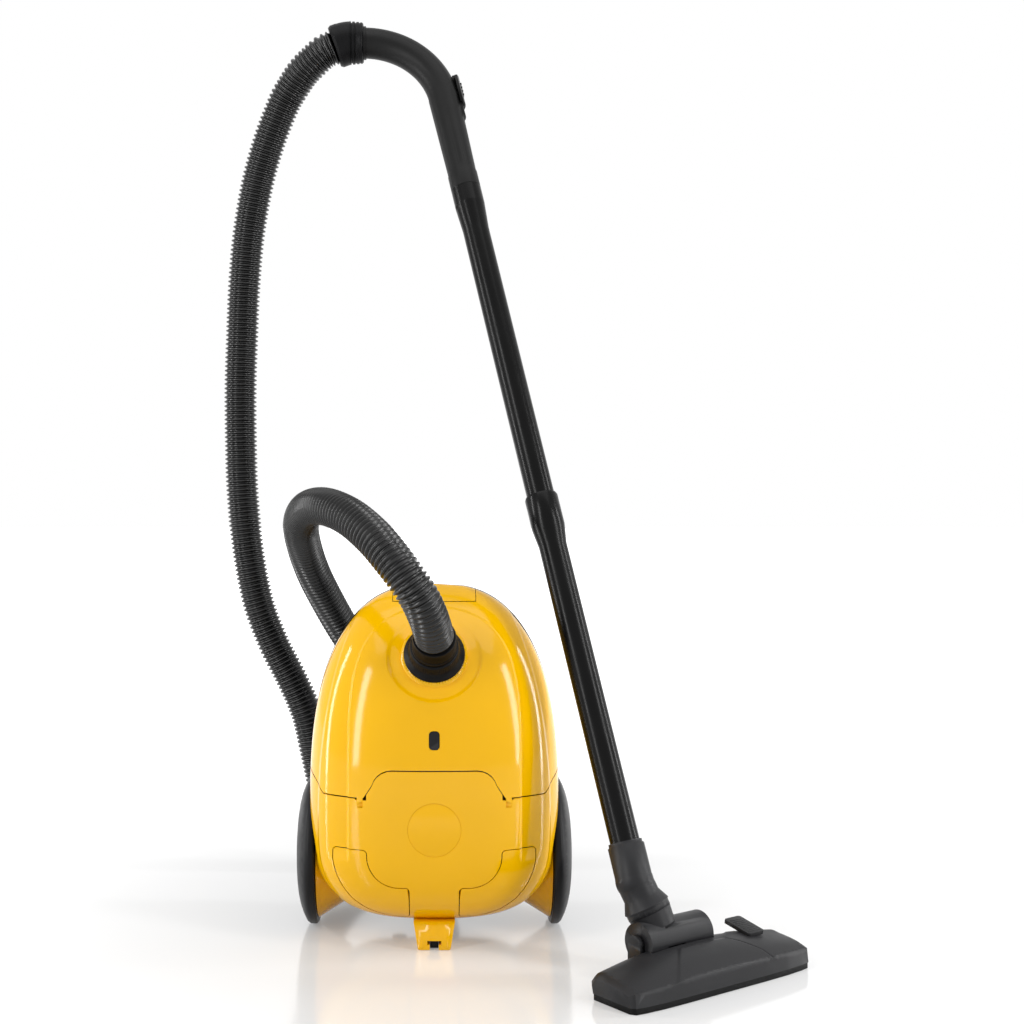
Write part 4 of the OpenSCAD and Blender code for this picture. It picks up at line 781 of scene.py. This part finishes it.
def crown_height(lx, ly):
    """The cover's top in the head's own frame, in millimetres, for arrays of places."""
    u = np.clip(lx / (head_len / 2), -1, 1)
    full = crown_h * (1 - crown_drop * u * u)
    brow = strip_h - brow_drop * u * u
    ys = np.stack([-head_depth / 2 + 2 + 5 * np.abs(u) ** 6, np.full_like(u, -20), np.full_like(u, 2),
                   np.full_like(u, 18), head_depth / 2 - 14 * u * u])
    zs = np.stack([brow, brow + brow_share * (full - brow), full, full, full - 10])
    slopes = np.diff(zs, axis=0) / np.diff(ys, axis=0)
    ends = np.concatenate([slopes[:1], 0.5 * (slopes[1:] + slopes[:-1]), slopes[-1:]])
    for k in range(4):
        width = ys[k + 1] - ys[k]
        t = np.clip((ly - ys[k]) / width, 0, 1)
        curve = ((2 * t ** 3 - 3 * t * t + 1) * zs[k] + (t ** 3 - 2 * t * t + t) * width * ends[k]
                 + (3 * t * t - 2 * t ** 3) * zs[k + 1] + (t ** 3 - t * t) * width * ends[k + 1])
        height = np.where(ly >= ys[k], curve, height) if k else curve
    return height


def panel_edges(lx, ly):
    """Distances in millimetres inside the panel's left shoulder and back edge, and to its joint line."""
    shoulder = (lx - shoulder_at[0]) * shoulder_way[0] + (ly - shoulder_at[1]) * shoulder_way[1]
    back = 4 - ly + np.clip(lx - 38, 0, 99)
    joint = np.interp(ly, joint_ys, joint_xs) - lx
    return np.minimum(shoulder, back), joint


def head_relief(lx, ly):
    """How far the cover stands proud in millimetres: the panel up, its joint line down."""
    inside, joint = panel_edges(lx, ly)
    groove = np.exp(-(joint / groove_half) ** 2) * eased((4 - ly) / 6)
    return panel_rise * eased(inside / panel_soft) - groove_depth * groove


def on_cover(verts):
    """The points in the head's frame, and which lie on the cover's top and on its front wall."""
    local = coordinates(verts) @ np.array(to_head.to_3x3()).T + np.array(to_head.translation)
    lx, ly, lz = local.T / mm
    top = (np.abs(lz - crown_height(lx, ly)) < top_reach) & (np.abs(lx) < top_end) & (ly < top_back)
    face = -head_depth / 2 + wall_reach + 5 * np.abs(lx / (head_len / 2)) ** 6
    wall = (ly < face) & (ly > -head_depth / 2 - 1) & (lz > wall_foot) & (np.abs(lx) < wall_end)
    return lx, ly, lz, top, wall


bm = worked_copy("head_cover")
bmesh.ops.triangulate(bm, faces=bm.faces)
for _ in range(7):
    bm.verts.index_update()
    lx, ly, lz, top, wall = on_cover(bm.verts)
    chosen = top | wall
    inside, joint = panel_edges(lx, ly)
    near = np.minimum(np.abs(inside - panel_middle), np.abs(joint))
    long = []
    for edge in bm.edges:
        i, j = edge.verts[0].index, edge.verts[1].index
        size = edge.calc_length() / mm
        limit = fine_edge if min(near[i], near[j]) < 0.6 * size + 3 else coarse_edge
        if chosen[i] and chosen[j] and size > over_limit * limit:
            long.append(edge)
    if not long:
        break
    halve(bm, long)
lx, ly, lz, top, wall = on_cover(bm.verts)
lift_up = np.where(top, np.clip(crown_height(lx, ly) - lz, -most_lift, most_lift), 0)
inward = head_frame.to_3x3() @ Vector((0, 1, 0))
for vert, is_top, is_wall, up, proud in zip(bm.verts, top, wall, lift_up, head_relief(lx, ly)):
    if is_top:
        vert.co.z += float(up + proud) * mm
    elif is_wall and proud < 0:
        vert.co += inward * float(-proud) * mm
settle("head_shell", bm, head_grey, "head_cover", crease=28.0)
fitting("head_plate", "head_sole", sole_black, 0.4 * mm)
fitting("head_wheels", "head_rollers", wheel_grey, 0.4 * mm)

# ---------- floor head pedal ----------
# A rounded rubber-faced paddle that the foot tips to drop the brushes, with raised grip bars.
# It rocks on a pin in the cover.
paddle_rubber = plastic("paddle_rubber", (0.011, 0.011, 0.012, 1), (0.42, 0.55), shade=0.85, grain_size=500.0,
                        grain_depth=0.00004, Specular_IOR_Level=0.3)
pedal_frame = (head_frame @ Matrix.Translation((70.3 * mm, 13 * mm, 24 * mm))
               @ Matrix.Rotation(math.radians(12), 4, "X"))
bar_count, bar_pitch = 8, 3.6
bars = bmesh.new()
for k in range(bar_count):
    block(bars, (17, 1.3, 0.9), (8.7, bar_pitch * k - 9.5, 16))
round_off(bars, list(bars.edges), 0.35 * mm)
bmesh.ops.transform(bars, matrix=pedal_frame, verts=bars.verts)
bm = plain_copy("head_pedal")
round_off(bm, sharp_edges(bm), 0.9 * mm, segments=3)
join_in(bm, bars)
settle("head_paddle", bm, paddle_rubber, "head_pedal")

# ---------- brush strips ----------
# Two rows of black nylon bristle, crimped in tufts into the brush frame below the head, with red
# lint velvet glued beside them and steel pins for the small wheels.
bristle = plastic("bristle", (0.012, 0.012, 0.012, 1), (0.5, 0.65), shade=0.6, grain_size=2500.0,
                  grain_depth=0.00006, Specular_IOR_Level=0.3)
velvet = plastic("lint_velvet", (0.30, 0.012, 0.012, 1), (0.85, 0.95), grain_size=1500.0, grain_depth=0.0003)
tufts, tuft_pitch, tuft_foot, tuft_tip, tuft_len, most_lean = 51, 3.96, 1.5 * mm, 1.0 * mm, 7.4 * mm, 0.06
bm = bmesh.new()
for row_y in (-28, 14.5):
    block(bm, (202, 3, 2.4), (0, row_y, 8.8))
    for k in range(tufts):
        tuft = bmesh.ops.create_cone(bm, cap_ends=True, segments=7, radius1=tuft_foot, radius2=tuft_tip,
                                     depth=tuft_len)["verts"]
        lean = most_lean * math.sin(2.7 * k + row_y)
        bmesh.ops.rotate(bm, verts=tuft, matrix=Matrix.Rotation(lean, 3, "Y"))
        bmesh.ops.translate(bm, verts=tuft, vec=((tuft_pitch * k - 99) * mm, row_y * mm, 4.6 * mm))
bmesh.ops.transform(bm, matrix=head_frame, verts=bm.verts)
settle("bristle_rows", bm, bristle, "brush_strips", crease=50.0)
dress(inner_grey, "brush_frame")
dress(steel, "roller_axles")
dress(velvet, "lint_strips")
